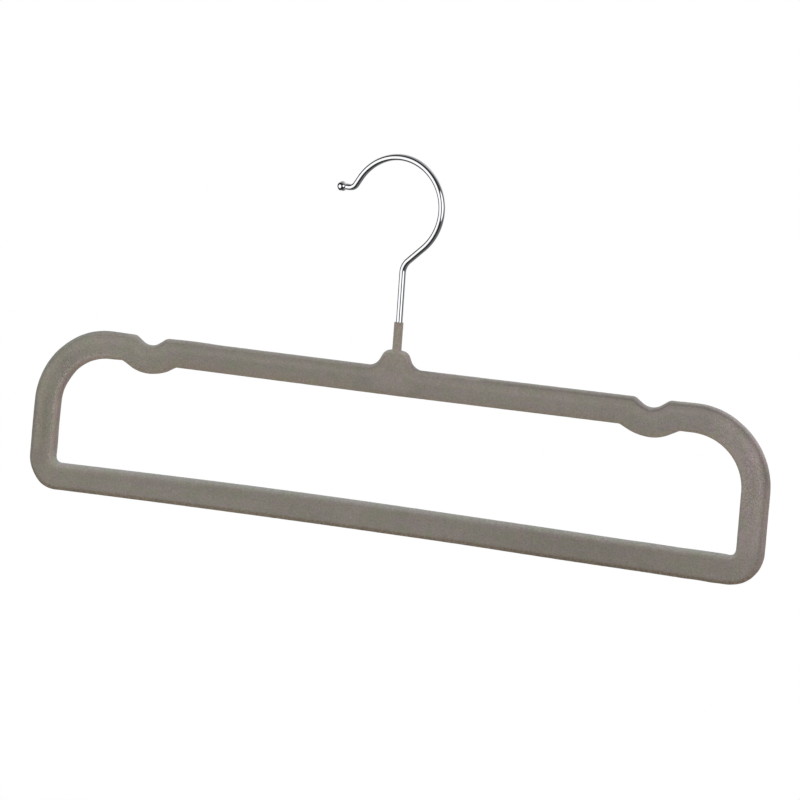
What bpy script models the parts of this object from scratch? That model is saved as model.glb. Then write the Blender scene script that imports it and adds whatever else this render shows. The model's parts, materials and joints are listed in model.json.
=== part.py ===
"""Slim flocked trouser hanger with a swivelling wire hook.

The loop is a stiff moulded core in two halves under a thin flocked cover, with a notch
near each end of its top bar. The wire hook ends in a pin that turns in the core, where a
washer and a collar hold it in, and a short flocked sleeve guides its shank.

Lengths are in metres, +Z is up and the loop lies along X. The world origin is the point
of the hook that sits on a rail. Pieces are drawn in the hanger's own frame, whose zero
is on the swivel axis at the level of the bottom edge, and which an empty carries.
"""
import math

import bmesh
import bpy
from mathutils import Matrix, Vector

MM = 0.001

# The loop, measured over the flock
LOOP_WIDTH = 411.4 * MM
LOOP_HEIGHT = 91.2 * MM
LOOP_THICKNESS = 6.2 * MM
EDGE_ROUND = 2.4 * MM
SIDE_LEAN = math.radians(1.2)
BOTTOM_CORNER_RADIUS = 18.2 * MM
TOP_CORNER_RADIUS = 42.5 * MM
BOTTOM_BAR_WIDTH = 15.1 * MM
TOP_BAR_WIDTH = 15.0 * MM
SIDE_BAR_FOOT_WIDTH = 14.7 * MM
SIDE_BAR_HEAD_WIDTH = 14.9 * MM
GAP_BOTTOM_CORNER_RADIUS = 4.4 * MM
GAP_TOP_CORNER_RADIUS = 27.9 * MM
BOTTOM_EDGE_BOW = 1.56 * MM
TROUSER_EDGE_BOW = 1.8 * MM
TOP_BAR_DIP = 0.47 * MM
TOP_BAR_DIP_REACH = 160.0 * MM

# The strap notches and the bulge that keeps the bar strong below each one.
# Depths are those of the straight flanks before they are rounded into each other.
NOTCH_FROM_END = 66.5 * MM
NOTCH_HALF_MOUTH = 9.4 * MM
NOTCH_FLANK_DEPTH = 6.7 * MM
NOTCH_LIP_RADIUS = 4.7 * MM
NOTCH_FLOOR_RADIUS = 9.0 * MM
BULGE_HALF_WIDTH = 16.1 * MM
BULGE_FLANK_DEPTH = 7.1 * MM
BULGE_ROOT_RADIUS = 6.3 * MM
BULGE_RADIUS = 18.0 * MM

# The hump that carries the neck
HUMP_HEIGHT = 9.3 * MM
HUMP_FOOT_HALF_WIDTH = 10.5 * MM
HUMP_TOP_HALF_WIDTH = 5.9 * MM
HUMP_FOOT_RADIUS = 7.1 * MM
HUMP_TOP_RADIUS = 5.0 * MM

# Layers, and the clearance kept between pieces
CLEARANCE = 0.3 * MM
FLOCK_THICKNESS = 0.4 * MM

# The neck sleeve
NECK_HEIGHT = 14.1 * MM
NECK_WALL = 0.35 * MM
NECK_SEAT_DEPTH = 4.0 * MM

# The hook, bent from round wire
WIRE_DIAMETER = 3.6 * MM
HOOK_RADIUS = 26.6 * MM
HOOK_CENTRE_ACROSS = -8.07 * MM
HOOK_CENTRE_ABOVE_SHANK = 29.75 * MM
SHANK_TOP_ACROSS = -0.9 * MM
SHANK_TOP_ABOVE_NECK = 31.1 * MM
SHANK_BEND_RADIUS = 8.7 * MM
HOOK_ARC_END = math.radians(148.7)
TIP_LEAD_LENGTH = 6.7 * MM
TIP_BEND_RADIUS = 4.3 * MM
TIP_LENGTH = 7.0 * MM
TIP_DIRECTION = math.radians(178.3)
BALL_DIAMETER = 5.5 * MM
BALL_STUD_DIAMETER = 1.8 * MM
BALL_STUD_LENGTH = 2.0 * MM
HOOK_TURN_AT_REST = math.radians(-10.1)

# The pin on the hook's lower end, and what holds it in the core
PIN_DIAMETER = 1.8 * MM
PIN_LENGTH = 7.0 * MM
PIN_TAIL_DIAMETER = 1.2 * MM
WASHER_THICKNESS = 0.5 * MM
COLLAR_DIAMETER = 3.4 * MM
COLLAR_HEIGHT = 1.6 * MM
WIRE_CHAMFER = 0.2 * MM

# The pegs that line up the two halves of the core
PEG_DIAMETER = 2.0 * MM
PEG_LENGTH = 1.3 * MM
OUTER_PEG_FROM_END = 40.7 * MM
INNER_PEG_FROM_MIDDLE = 55.0 * MM
TOP_PEG_FROM_NOTCH = 44.2 * MM
NECK_PEG_FROM_MIDDLE = 35.0 * MM
SIDE_PEG_HEIGHT = 40.0 * MM

# The most of an outline's straight edge that the fillets at its two ends may take together
FILLET_SHARE = 0.96

# Fineness of the faceted surfaces
CORNER_STEP = math.radians(12)
WIRE_STEP = math.radians(7)
BOW_STEPS = 8
EDGE_STEPS_OUTSIDE = 3
EDGE_STEPS_INSIDE = 2
TURNED_SIDES = 24
SMALL_SIDES = 12
BALL_STEPS = 8

# Sizes that follow from the ones above
HALF_WIDTH = LOOP_WIDTH / 2
NOTCH_PLACE = HALF_WIDTH - NOTCH_FROM_END
COVER_TO_CORE = FLOCK_THICKNESS + CLEARANCE
CORE_FACE = LOOP_THICKNESS / 2 - COVER_TO_CORE
CORE_EDGE_ROUND = EDGE_ROUND - COVER_TO_CORE
HUMP_TOP = LOOP_HEIGHT - TOP_BAR_DIP + HUMP_HEIGHT
NECK_TOP = HUMP_TOP + NECK_HEIGHT
NECK_SEAT = HUMP_TOP - NECK_SEAT_DEPTH
WIRE_RADIUS = WIRE_DIAMETER / 2
SLEEVE_BORE_RADIUS = WIRE_RADIUS + CLEARANCE
SLEEVE_RADIUS = SLEEVE_BORE_RADIUS + NECK_WALL
PIN_RADIUS = PIN_DIAMETER / 2
PIN_TAIL_RADIUS = PIN_TAIL_DIAMETER / 2
COLLAR_RADIUS = COLLAR_DIAMETER / 2
BALL_RADIUS = BALL_DIAMETER / 2
SHANK_FOOT = NECK_SEAT + CLEARANCE
PIN_FOOT = SHANK_FOOT - PIN_LENGTH
WASHER_FOOT = PIN_FOOT
COLLAR_TOP = WASHER_FOOT - CLEARANCE
COLLAR_FOOT = COLLAR_TOP - COLLAR_HEIGHT
POCKET_TOP = WASHER_FOOT + WASHER_THICKNESS + CLEARANCE
POCKET_FOOT = COLLAR_FOOT - CLEARANCE
SHANK_TOP = Vector((SHANK_TOP_ACROSS, NECK_TOP + SHANK_TOP_ABOVE_NECK))
HOOK_CENTRE = Vector((HOOK_CENTRE_ACROSS, SHANK_TOP.y + HOOK_CENTRE_ABOVE_SHANK))

# Colours as linear red, green and blue, then roughness and metallic
VELVET_FINISH = ((0.223, 0.202, 0.171), 0.95, 0.0)
CORE_FINISH = ((0.19, 0.175, 0.15), 0.5, 0.0)
CHROME_FINISH = ((0.78, 0.78, 0.8), 0.08, 1.0)
STEEL_FINISH = ((0.56, 0.56, 0.57), 0.35, 1.0)
NYLON_FINISH = ((0.75, 0.74, 0.7), 0.45, 0.0)


def clear_scene():
    """Remove every object that is in the scene."""
    for thing in list(bpy.data.objects):
        bpy.data.objects.remove(thing, do_unlink=True)


def finish_of(name, finish):
    """A Principled material of the given colour, roughness and metallic value."""
    colour, roughness, metallic = finish
    material = bpy.data.materials.new(name)
    material.use_nodes = True
    shader = material.node_tree.nodes["Principled BSDF"]
    shader.inputs["Base Color"].default_value = (*colour, 1.0)
    shader.inputs["Roughness"].default_value = roughness
    shader.inputs["Metallic"].default_value = metallic
    material.diffuse_color = (*colour, 1.0)
    return material


def place(name, data, carrier, finish=None):
    """Link an object under the empty that carries it, with its material."""
    thing = bpy.data.objects.new(name, data)
    bpy.context.scene.collection.objects.link(thing)
    thing.parent = carrier
    if finish:
        data.materials.append(finish_of(name + "_finish", finish))
    return thing


def mesh_from(name, bm):
    """Turn a bmesh into a closed, outward facing mesh."""
    bmesh.ops.remove_doubles(bm, verts=bm.verts, dist=1e-7)
    bmesh.ops.recalc_face_normals(bm, faces=bm.faces)
    mesh = bpy.data.meshes.new(name)
    bm.to_mesh(mesh)
    bm.free()
    mesh.shade_smooth()
    mesh.set_sharp_from_angle(angle=math.radians(35))
    return mesh


def cut(thing, cutter, operation="DIFFERENCE"):
    """Cut one object with another, or join them, and hide the second one."""
    cutter.hide_render = True
    cutter.display_type = "WIRE"
    boolean = thing.modifiers.new(cutter.name, "BOOLEAN")
    boolean.operation = operation
    boolean.object = cutter


def outer_corners():
    """Corners of the loop's outer outline as (x, z, radius), anticlockwise from the bottom right."""
    head = HALF_WIDTH - math.tan(SIDE_LEAN) * LOOP_HEIGHT
    right = [
        (HALF_WIDTH, 0.0, BOTTOM_CORNER_RADIUS),
        (head, LOOP_HEIGHT, TOP_CORNER_RADIUS),
        (NOTCH_PLACE + NOTCH_HALF_MOUTH, LOOP_HEIGHT, NOTCH_LIP_RADIUS),
        (NOTCH_PLACE, LOOP_HEIGHT - NOTCH_FLANK_DEPTH, NOTCH_FLOOR_RADIUS),
        (NOTCH_PLACE - NOTCH_HALF_MOUTH, LOOP_HEIGHT, NOTCH_LIP_RADIUS),
        (HUMP_FOOT_HALF_WIDTH, LOOP_HEIGHT, HUMP_FOOT_RADIUS),
        (HUMP_TOP_HALF_WIDTH, LOOP_HEIGHT + HUMP_HEIGHT, HUMP_TOP_RADIUS),
    ]
    left = [(-x, z, radius) for x, z, radius in reversed(right)]
    return right + left + bow_points(outer_bow_reach(), 0.0)


def gap_corners():
    """Corners of the gap inside the loop as (x, z, radius), clockwise from the top left."""
    lean = math.tan(SIDE_LEAN)
    foot = HALF_WIDTH - SIDE_BAR_FOOT_WIDTH - lean * BOTTOM_BAR_WIDTH
    head = HALF_WIDTH - lean * LOOP_HEIGHT - SIDE_BAR_HEAD_WIDTH + lean * TOP_BAR_WIDTH
    roof = LOOP_HEIGHT - TOP_BAR_WIDTH
    right = [
        (foot, BOTTOM_BAR_WIDTH, GAP_BOTTOM_CORNER_RADIUS),
        (head, roof, GAP_TOP_CORNER_RADIUS),
        (NOTCH_PLACE + BULGE_HALF_WIDTH, roof, BULGE_ROOT_RADIUS),
        (NOTCH_PLACE, roof - BULGE_FLANK_DEPTH, BULGE_RADIUS),
        (NOTCH_PLACE - BULGE_HALF_WIDTH, roof, BULGE_ROOT_RADIUS),
    ]
    left = [(-x, z, radius) for x, z, radius in reversed(right)]
    middle = [(0.0, roof, 0.0)]
    corners = right + middle + left + bow_points(gap_bow_reach(), BOTTOM_BAR_WIDTH)
    return corners[::-1]


def outer_bow_reach():
    """Half the length of the bottom edge that is bowed."""
    return HALF_WIDTH - BOTTOM_CORNER_RADIUS


def gap_bow_reach():
    """Half the length of the trouser edge that is bowed."""
    return HALF_WIDTH - SIDE_BAR_FOOT_WIDTH - math.tan(SIDE_LEAN) * BOTTOM_BAR_WIDTH


def bow_points(reach, z):
    """Points along a bottom edge, left to right, on which it is bowed."""
    steps = range(1, BOW_STEPS)
    return [(reach * (2 * i / BOW_STEPS - 1), z, 0.0) for i in steps]


def fillet_fit(edge, first, second):
    """The share of two fillets' wanted lengths that fits on the edge between them, at most 1."""
    wanted = first + second
    return min(1.0, FILLET_SHARE * edge / wanted) if wanted else 1.0


def rounded(corners, inset):
    """Points of a closed outline with its corners rounded, moved inwards to its left by inset."""
    count = len(corners)
    points = [Vector(corner[:2]) for corner in corners]
    along = [(points[(i + 1) % count] - points[i]).normalized() for i in range(count)]
    inward = [Vector((-d.y, d.x)) for d in along]
    moved = []
    turns = []
    for i, point in enumerate(points):
        before, after = inward[i - 1], inward[i]
        moved.append(point + (before + after) / (1 + before.dot(after)) * inset)
        cross = along[i - 1].x * along[i].y - along[i - 1].y * along[i].x
        turns.append(math.atan2(cross, along[i - 1].dot(along[i])))
    lengths = [(moved[(i + 1) % count] - moved[i]).length for i in range(count)]
    tangents = []
    for turn, corner in zip(turns, corners):
        radius = max(corner[2] - math.copysign(inset, turn), 0.0) if corner[2] else 0.0
        tangents.append(radius * math.tan(abs(turn) / 2))
    outline = []
    for i, turn in enumerate(turns):
        if not corners[i][2]:
            outline.append(moved[i])
            continue
        before = fillet_fit(lengths[i - 1], tangents[i - 1], tangents[i])
        after = fillet_fit(lengths[i], tangents[i], tangents[(i + 1) % count])
        tangent = tangents[i] * min(before, after)
        start = moved[i] - along[i - 1] * tangent
        radius = math.copysign(tangent / math.tan(abs(turn) / 2), turn)
        centre = start + inward[i - 1] * radius
        steps = max(1, math.ceil(abs(turn) / CORNER_STEP))
        for step in range(steps + 1):
            spoke = Matrix.Rotation(turn * step / steps, 2) @ (start - centre)
            outline.append(centre + spoke)
    return outline


def settled(x, z, rise, reach):
    """Height of a point once the bottom bar is bowed up and the top bar dips to the neck."""
    if z < LOOP_HEIGHT / 2:
        return z + rise * max(0.0, 1 - (x / reach) ** 2)
    return z - TOP_BAR_DIP * max(0.0, 1 - abs(x) / TOP_BAR_DIP_REACH)


def loop_edges(inset):
    """The outer edge of the loop and the edge of its gap, both moved into the bars by inset."""
    outer = rounded(outer_corners(), inset)
    gap = rounded(gap_corners(), inset)
    return [
        [(p.x, settled(p.x, p.y, BOTTOM_EDGE_BOW, outer_bow_reach())) for p in outer],
        [(p.x, settled(p.x, p.y, TROUSER_EDGE_BOW, gap_bow_reach())) for p in gap],
    ]


def edge_round(face, radius, inset, steps):
    """Levels (y, inset) of a rounded edge, from the flat front face at y = face back to its side."""
    levels = []
    for step in range(steps + 1):
        angle = math.pi / 2 * step / steps
        levels.append((face + radius * (1 - math.cos(angle)), inset + radius * (1 - math.sin(angle))))
    return levels


def mirrored(levels):
    """The same levels for the rear edge, from the side back to the flat rear face."""
    return [(-y, inset) for y, inset in reversed(levels)]


def loop_plate(name, levels):
    """A solid plate in the loop's outline, with one ring of points for each (y, inset) level."""
    bm = bmesh.new()
    rings = []
    for y, inset in levels:
        rings.append([[bm.verts.new((x, y, z)) for x, z in edge] for edge in loop_edges(inset)])
    for front, rear in zip(rings, rings[1:]):
        for front_edge, rear_edge in zip(front, rear):
            for i in range(len(front_edge)):
                bm.faces.new((front_edge[i - 1], front_edge[i], rear_edge[i], rear_edge[i - 1]))
    for ring in (rings[0], rings[-1]):
        rim = [bm.edges.get((edge[i - 1], edge[i])) for edge in ring for i in range(len(edge))]
        bmesh.ops.triangle_fill(bm, use_beauty=True, edges=rim)
    return mesh_from(name, bm)


def turned(name, profile, sides):
    """A solid turned about Z from a profile of (radius, z) points, which may be a closed ring."""
    bm = bmesh.new()
    verts = [bm.verts.new((radius, 0.0, z)) for radius, z in profile]
    edges = [bm.edges.new(pair) for pair in zip(verts, verts[1:])]
    if profile[0][0] > 0:
        edges.append(bm.edges.new((verts[-1], verts[0])))
    bmesh.ops.spin(
        bm,
        geom=verts + edges,
        cent=(0, 0, 0),
        axis=(0, 0, 1),
        angle=math.tau,
        steps=sides,
        use_merge=True,
    )
    return mesh_from(name, bm)


def ring_profile(inner, outer, foot, top):
    """Profile of a plain ring between two radii and two heights."""
    return [(inner, foot), (outer, foot), (outer, top), (inner, top)]


def peg_places():
    """Centres (x, z) of the locating pegs, on the middle of the bars."""
    bottom = BOTTOM_BAR_WIDTH / 2
    top = LOOP_HEIGHT - TOP_BAR_WIDTH / 2
    side = HALF_WIDTH - (SIDE_BAR_FOOT_WIDTH + SIDE_BAR_HEAD_WIDTH) / 4 - math.tan(SIDE_LEAN) * SIDE_PEG_HEIGHT
    rise = (BOTTOM_EDGE_BOW + TROUSER_EDGE_BOW) / 2
    reach = gap_bow_reach()
    right = [(x, bottom) for x in (INNER_PEG_FROM_MIDDLE, HALF_WIDTH - OUTER_PEG_FROM_END)]
    right += [(x, top) for x in (NECK_PEG_FROM_MIDDLE, NOTCH_PLACE - TOP_PEG_FROM_NOTCH)]
    right.append((side, SIDE_PEG_HEIGHT))
    places = [(x * way, z) for way in (-1, 1) for x, z in right]
    return [(x, settled(x, z, rise, reach)) for x, z in places]


def peg_set(name, radius, front, rear, carrier):
    """Cylinders at every peg place, between two depths."""
    bm = bmesh.new()
    lie_along_y = Matrix.Rotation(math.pi / 2, 4, "X")
    for x, z in peg_places():
        bmesh.ops.create_cone(
            bm,
            cap_ends=True,
            segments=SMALL_SIDES,
            radius1=radius,
            radius2=radius,
            depth=rear - front,
            matrix=Matrix.Translation((x, (front + rear) / 2, z)) @ lie_along_y,
        )
    return place(name, mesh_from(name, bm), carrier)


def pin_way(name, carrier):
    """Cutter for the room in the core: the sleeve's seat, the pin's bore and the collar's pocket."""
    seat = SLEEVE_RADIUS + CLEARANCE
    bore = PIN_RADIUS + CLEARANCE
    pocket = COLLAR_RADIUS + CLEARANCE
    profile = [
        (0.0, POCKET_FOOT),
        (pocket, POCKET_FOOT),
        (pocket, POCKET_TOP),
        (bore, POCKET_TOP),
        (bore, NECK_SEAT),
        (seat, NECK_SEAT),
        (seat, NECK_TOP),
        (0.0, NECK_TOP),
    ]
    return place(name, turned(name, profile, TURNED_SIDES), carrier)


def make_core(carrier):
    """The two moulded halves, which meet on the middle plane and shut the pin's way between them."""
    seam = CLEARANCE / 2
    front_levels = edge_round(-CORE_FACE, CORE_EDGE_ROUND, COVER_TO_CORE, EDGE_STEPS_INSIDE)
    front_levels.append((-seam, COVER_TO_CORE))
    front = place("core_front_half", loop_plate("core_front_half", front_levels), carrier, CORE_FINISH)
    rear = place("core_rear_half", loop_plate("core_rear_half", mirrored(front_levels)), carrier, CORE_FINISH)
    way = pin_way("pin_way_cutter", carrier)
    cut(front, way)
    cut(rear, way)
    peg_radius = PEG_DIAMETER / 2
    peg_end = seam - PEG_LENGTH
    pegs = peg_set("peg_shapes", peg_radius, peg_end, CORE_FACE / 2, carrier)
    cut(rear, pegs, "UNION")
    sockets = peg_set("socket_cutter", peg_radius + CLEARANCE, peg_end - CLEARANCE, seam, carrier)
    cut(front, sockets)


def make_cover(carrier):
    """The flocked cover, a thin shell round the core that is open only at the neck."""
    face = LOOP_THICKNESS / 2
    outside = edge_round(-face, EDGE_ROUND, 0.0, EDGE_STEPS_OUTSIDE)
    inside = edge_round(FLOCK_THICKNESS - face, EDGE_ROUND - FLOCK_THICKNESS, FLOCK_THICKNESS, EDGE_STEPS_INSIDE)
    cover = place("velvet_cover", loop_plate("velvet_cover", outside + mirrored(outside)), carrier, VELVET_FINISH)
    cut(cover, place("cover_hollow_cutter", loop_plate("cover_hollow", inside + mirrored(inside)), carrier))
    mouth = [
        (0.0, NECK_SEAT),
        (SLEEVE_RADIUS + CLEARANCE, NECK_SEAT),
        (SLEEVE_RADIUS + CLEARANCE, NECK_TOP),
        (0.0, NECK_TOP),
    ]
    cut(cover, place("cover_mouth_cutter", turned("cover_mouth", mouth, TURNED_SIDES), carrier))


def make_neck_sleeve(carrier):
    """The thin flocked tube that stands in the core and guides the hook's shank."""
    profile = ring_profile(SLEEVE_BORE_RADIUS, SLEEVE_RADIUS, NECK_SEAT + CLEARANCE, NECK_TOP)
    place("neck_sleeve", turned("neck_sleeve", profile, TURNED_SIDES), carrier, VELVET_FINISH)


def make_retention(carrier):
    """The washer and the collar on the pin, inside the core's pocket."""
    washer = ring_profile(
        PIN_RADIUS + CLEARANCE, COLLAR_RADIUS, WASHER_FOOT, WASHER_FOOT + WASHER_THICKNESS
    )
    place("thrust_washer", turned("thrust_washer", washer, TURNED_SIDES), carrier, NYLON_FINISH)
    collar = ring_profile(PIN_TAIL_RADIUS + CLEARANCE, COLLAR_RADIUS, COLLAR_FOOT, COLLAR_TOP)
    place("retaining_collar", turned("retaining_collar", collar, TURNED_SIDES), carrier, STEEL_FINISH)


def bend(before, corner, after, radius):
    """Points of the wire's centreline round a bend of the given radius."""
    into = (corner - before).normalized()
    out = (after - corner).normalized()
    turn = math.atan2(into.x * out.y - into.y * out.x, into.dot(out))
    reach = min((corner - before).length, (after - corner).length)
    tangent = min(radius * math.tan(abs(turn) / 2), reach)
    start = corner - into * tangent
    side = Vector((-into.y, into.x)) * math.copysign(tangent / math.tan(abs(turn) / 2), turn)
    steps = max(1, math.ceil(abs(turn) / WIRE_STEP))
    arms = [Matrix.Rotation(turn * step / steps, 2) @ -side for step in range(steps + 1)]
    return [start + side + arm for arm in arms]


def hook_line():
    """Centreline of the hook above its neck, in its own plane, and the direction of its tip."""
    neck = Vector((0.0, NECK_TOP))
    to_centre = HOOK_CENTRE - SHANK_TOP
    slope = math.atan2(to_centre.y, to_centre.x) - math.asin(HOOK_RADIUS / to_centre.length)
    reach = math.sqrt(to_centre.length_squared - HOOK_RADIUS**2)
    arc_start = SHANK_TOP + Vector((math.cos(slope), math.sin(slope))) * reach
    first = math.atan2(arc_start.y - HOOK_CENTRE.y, arc_start.x - HOOK_CENTRE.x)
    steps = math.ceil((HOOK_ARC_END - first) / WIRE_STEP)
    angles = [first + (HOOK_ARC_END - first) * step / steps for step in range(steps + 1)]
    arc = [HOOK_CENTRE + Vector((math.cos(a), math.sin(a))) * HOOK_RADIUS for a in angles]
    leaving = Vector((-math.sin(HOOK_ARC_END), math.cos(HOOK_ARC_END)))
    tip_corner = arc[-1] + leaving * TIP_LEAD_LENGTH
    tip = Vector((math.cos(TIP_DIRECTION), math.sin(TIP_DIRECTION)))
    ball = tip_corner + tip * TIP_LENGTH
    line = [neck] + bend(neck, SHANK_TOP, arc_start, SHANK_BEND_RADIUS) + arc
    line += bend(arc[-1], tip_corner, ball, TIP_BEND_RADIUS)
    return line, ball, tip


def ball_flat():
    """Distance from the ball's centre to the flat that faces the wire."""
    return math.sqrt(BALL_RADIUS**2 - WIRE_RADIUS**2)


def make_hook_wire(carrier):
    """The wire as one swept solid, stepped down to its pin below and to the ball's stud above."""
    line, ball, tip = hook_line()
    stud_root = ball - tip * (ball_flat() + CLEARANCE)
    stud_end = ball - tip * (ball_flat() + CLEARANCE - BALL_STUD_LENGTH)
    stud_radius = BALL_STUD_DIAMETER / 2
    route = [
        (Vector((0.0, COLLAR_FOOT)), PIN_TAIL_RADIUS),
        (Vector((0.0, COLLAR_TOP + CLEARANCE / 2)), PIN_TAIL_RADIUS),
        (Vector((0.0, COLLAR_TOP + CLEARANCE / 2 + WIRE_CHAMFER)), PIN_RADIUS),
        (Vector((0.0, SHANK_FOOT)), PIN_RADIUS),
        (Vector((0.0, SHANK_FOOT + WIRE_CHAMFER)), WIRE_RADIUS),
    ]
    route += [(point, WIRE_RADIUS) for point in line]
    route += [
        (stud_root - tip * WIRE_CHAMFER, WIRE_RADIUS),
        (stud_root, stud_radius),
        (stud_end, stud_radius),
    ]
    curve = bpy.data.curves.new("hook_wire", "CURVE")
    curve.dimensions = "3D"
    curve.bevel_depth = WIRE_RADIUS
    curve.bevel_resolution = 4
    curve.use_fill_caps = True
    spline = curve.splines.new("POLY")
    spline.points.add(len(route) - 1)
    for point, (spot, radius) in zip(spline.points, route):
        point.co = (spot.x, 0.0, spot.y, 1.0)
        point.radius = radius / WIRE_RADIUS
    spline.use_smooth = True
    place("hook_wire", curve, carrier, CHROME_FINISH)


def make_ball(carrier):
    """The ball on the hook's tip, with a blind hole for the wire's stud."""
    _, ball, tip = hook_line()
    flat = ball_flat()
    hole = BALL_STUD_DIAMETER / 2 + CLEARANCE
    start = math.asin(flat / BALL_RADIUS)
    angles = [start - (start + math.pi / 2) * step / BALL_STEPS for step in range(BALL_STEPS + 1)]
    profile = [(0.0, flat - BALL_STUD_LENGTH), (hole, flat - BALL_STUD_LENGTH), (hole, flat)]
    profile += [(BALL_RADIUS * math.cos(a), BALL_RADIUS * math.sin(a)) for a in angles[:-1]]
    profile.append((0.0, -BALL_RADIUS))
    thing = place("hook_ball_tip", turned("hook_ball_tip", profile, 2 * BALL_STEPS), carrier, CHROME_FINISH)
    thing.location = (ball.x, 0.0, ball.y)
    thing.rotation_mode = "QUATERNION"
    thing.rotation_quaternion = Vector((-tip.x, 0.0, -tip.y)).to_track_quat("Z", "Y")


def seat_on_rail():
    """The underside of the hook's top, in the hanger's own frame, with the hook turned as at rest."""
    across = HOOK_CENTRE.x
    turn = HOOK_TURN_AT_REST
    height = HOOK_CENTRE.y + HOOK_RADIUS - WIRE_RADIUS
    return Vector((across * math.cos(turn), across * math.sin(turn), height))


def make_carriers():
    """Empties on the swivel axis: one carries the loop, the other the hook at its resting turn."""
    loop_axis = bpy.data.objects.new("loop_axis", None)
    hook_axis = bpy.data.objects.new("hook_axis", None)
    for empty in (loop_axis, hook_axis):
        bpy.context.scene.collection.objects.link(empty)
        empty.location = -seat_on_rail()
    hook_axis.rotation_euler.z = HOOK_TURN_AT_REST
    return loop_axis, hook_axis


def main():
    clear_scene()
    loop_axis, hook_axis = make_carriers()
    make_core(loop_axis)
    make_cover(loop_axis)
    make_neck_sleeve(loop_axis)
    make_hook_wire(hook_axis)
    make_ball(hook_axis)
    make_retention(hook_axis)


main()
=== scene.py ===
"""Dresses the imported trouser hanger: a flocked loop, a chromed wire hook and a pale studio.

Lengths are in metres and +Z is up. Pieces are modelled in the hanger's own frame, whose zero
is on the swivel axis at the level of the bottom edge, and are then moved to their place in
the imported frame. The velvet loop and neck ride on the body "loop", the wire and its ball on
the body "hook". The core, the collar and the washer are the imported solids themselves.
"""
import json
import math

import bpy
from bpy.props import FloatProperty, FloatVectorProperty, PointerProperty
from bpy.types import Operator, Panel, PropertyGroup, Scene
from mathutils import Matrix, Vector, kdtree


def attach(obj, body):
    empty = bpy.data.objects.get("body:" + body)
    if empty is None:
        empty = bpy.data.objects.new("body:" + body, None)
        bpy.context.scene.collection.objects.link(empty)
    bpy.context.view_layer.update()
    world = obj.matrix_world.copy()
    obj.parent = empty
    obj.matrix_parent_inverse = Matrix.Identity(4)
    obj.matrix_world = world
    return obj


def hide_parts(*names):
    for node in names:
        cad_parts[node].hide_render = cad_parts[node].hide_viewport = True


bl_info = {
    "name": "Flocked trouser hanger",
    "version": (1, 0, 0),
    "blender": (4, 5, 0),
    "location": "3D View > Sidebar > Hanger",
    "description": "Models the looks of a flocked trouser hanger round its packed frame",
    "category": "Object",
}

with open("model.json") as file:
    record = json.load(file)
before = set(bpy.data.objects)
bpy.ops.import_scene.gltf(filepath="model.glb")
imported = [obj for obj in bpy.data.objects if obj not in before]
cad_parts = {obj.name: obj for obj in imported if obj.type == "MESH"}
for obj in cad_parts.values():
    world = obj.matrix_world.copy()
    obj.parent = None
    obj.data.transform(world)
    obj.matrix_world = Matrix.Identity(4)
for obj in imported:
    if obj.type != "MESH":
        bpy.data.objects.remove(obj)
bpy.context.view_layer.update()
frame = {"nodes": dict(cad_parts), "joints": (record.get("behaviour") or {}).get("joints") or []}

MM = 0.001

# The swivel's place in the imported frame, at the height of the seat that the neck stands in
SWIVEL = Vector(frame["joints"][0]["pos_m"])

# The loop's straight edges lean and bow a little
SIDE_LEAN = math.radians(1.2)
BOTTOM_EDGE_BOW = 1.56 * MM
TROUSER_EDGE_BOW = 1.8 * MM
TOP_BAR_DIP = 0.47 * MM
TOP_BAR_DIP_REACH = 160.0 * MM

# Where the moulding has drawn itself a little out of true: place and reach (mm), and how far it
# has moved across and up (mm)
WARPS = [
    (-196, 2.3, 11, 9, -0.3, -0.5),
    (188.5, 0, 11, 9, 0.0, 0.3),
    (184, 15.3, 36, 8, 0.0, 0.6),
    (-55, 16.6, 125, 8, 0.0, 0.38),
    (-172, 89, 30, 9, -0.12, 0.36),
    (-115, 91, 18, 8, 0.0, 0.32),
    (170, 89.5, 26, 9, 0.1, 0.32),
    (-204.7, 42, 7, 26, -0.28, 0.0),
    (-190.5, 22, 7, 15, 0.36, 0.0),
    (-186, 62.5, 8, 8, 0.25, -0.18),
    (134.5, 71.3, 9, 6, 0.06, 0.28),
    (-153.8, 75.4, 8, 6, 0.1, 0.28),
    (98, 1, 55, 8, 0.0, -0.27),
    (189.3, 16.2, 4, 4, 0.35, -0.5),
    (-189.3, 16.3, 4, 4, -0.28, -0.22),
    (-129, 73.3, 6, 5, 0.1, -0.22),
    (148.5, 15.8, 16, 6, 0.0, 0.22),
    (173, 0.2, 9, 6, 0.0, 0.2),
]

# The strap notches and the bulges below them
NOTCH_FROM_END = 66.5 * MM
NOTCH_HALF_MOUTH = 9.2 * MM
NOTCH_LIP_RADIUS = 3.7 * MM
NOTCH_FLOOR_RADIUS = 8.6 * MM
BULGE_HALF_WIDTH = 15.8 * MM
BULGE_FLANK_DEPTH = 8.2 * MM
BULGE_ROOT_RADIUS = 3.5 * MM
BULGE_RADIUS = 23.0 * MM

# The hump below the neck
HUMP_HEIGHT = 9.3 * MM
HUMP_FOOT_HALF_WIDTH = 10.5 * MM
HUMP_TOP_HALF_WIDTH = 5.9 * MM
HUMP_FOOT_RADIUS = 7.1 * MM
HUMP_TOP_RADIUS = 5.0 * MM
HUMP_REACH = 15.0 * MM

# Fineness of the velvet: its outer wall, and the wall that faces the core
OUTER_STEP = 1.0 * MM
OUTER_ROUND_STEPS = 6
OUTER_CUTS = 9
INNER_STEP = 5.0 * MM
INNER_ROUND_STEPS = 2
INNER_CUTS = 1
WIDEST_TURN = math.radians(4)
RIM_ANGLE = math.radians(60)
FLAT_WIDTH = 6.0 * MM

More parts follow.
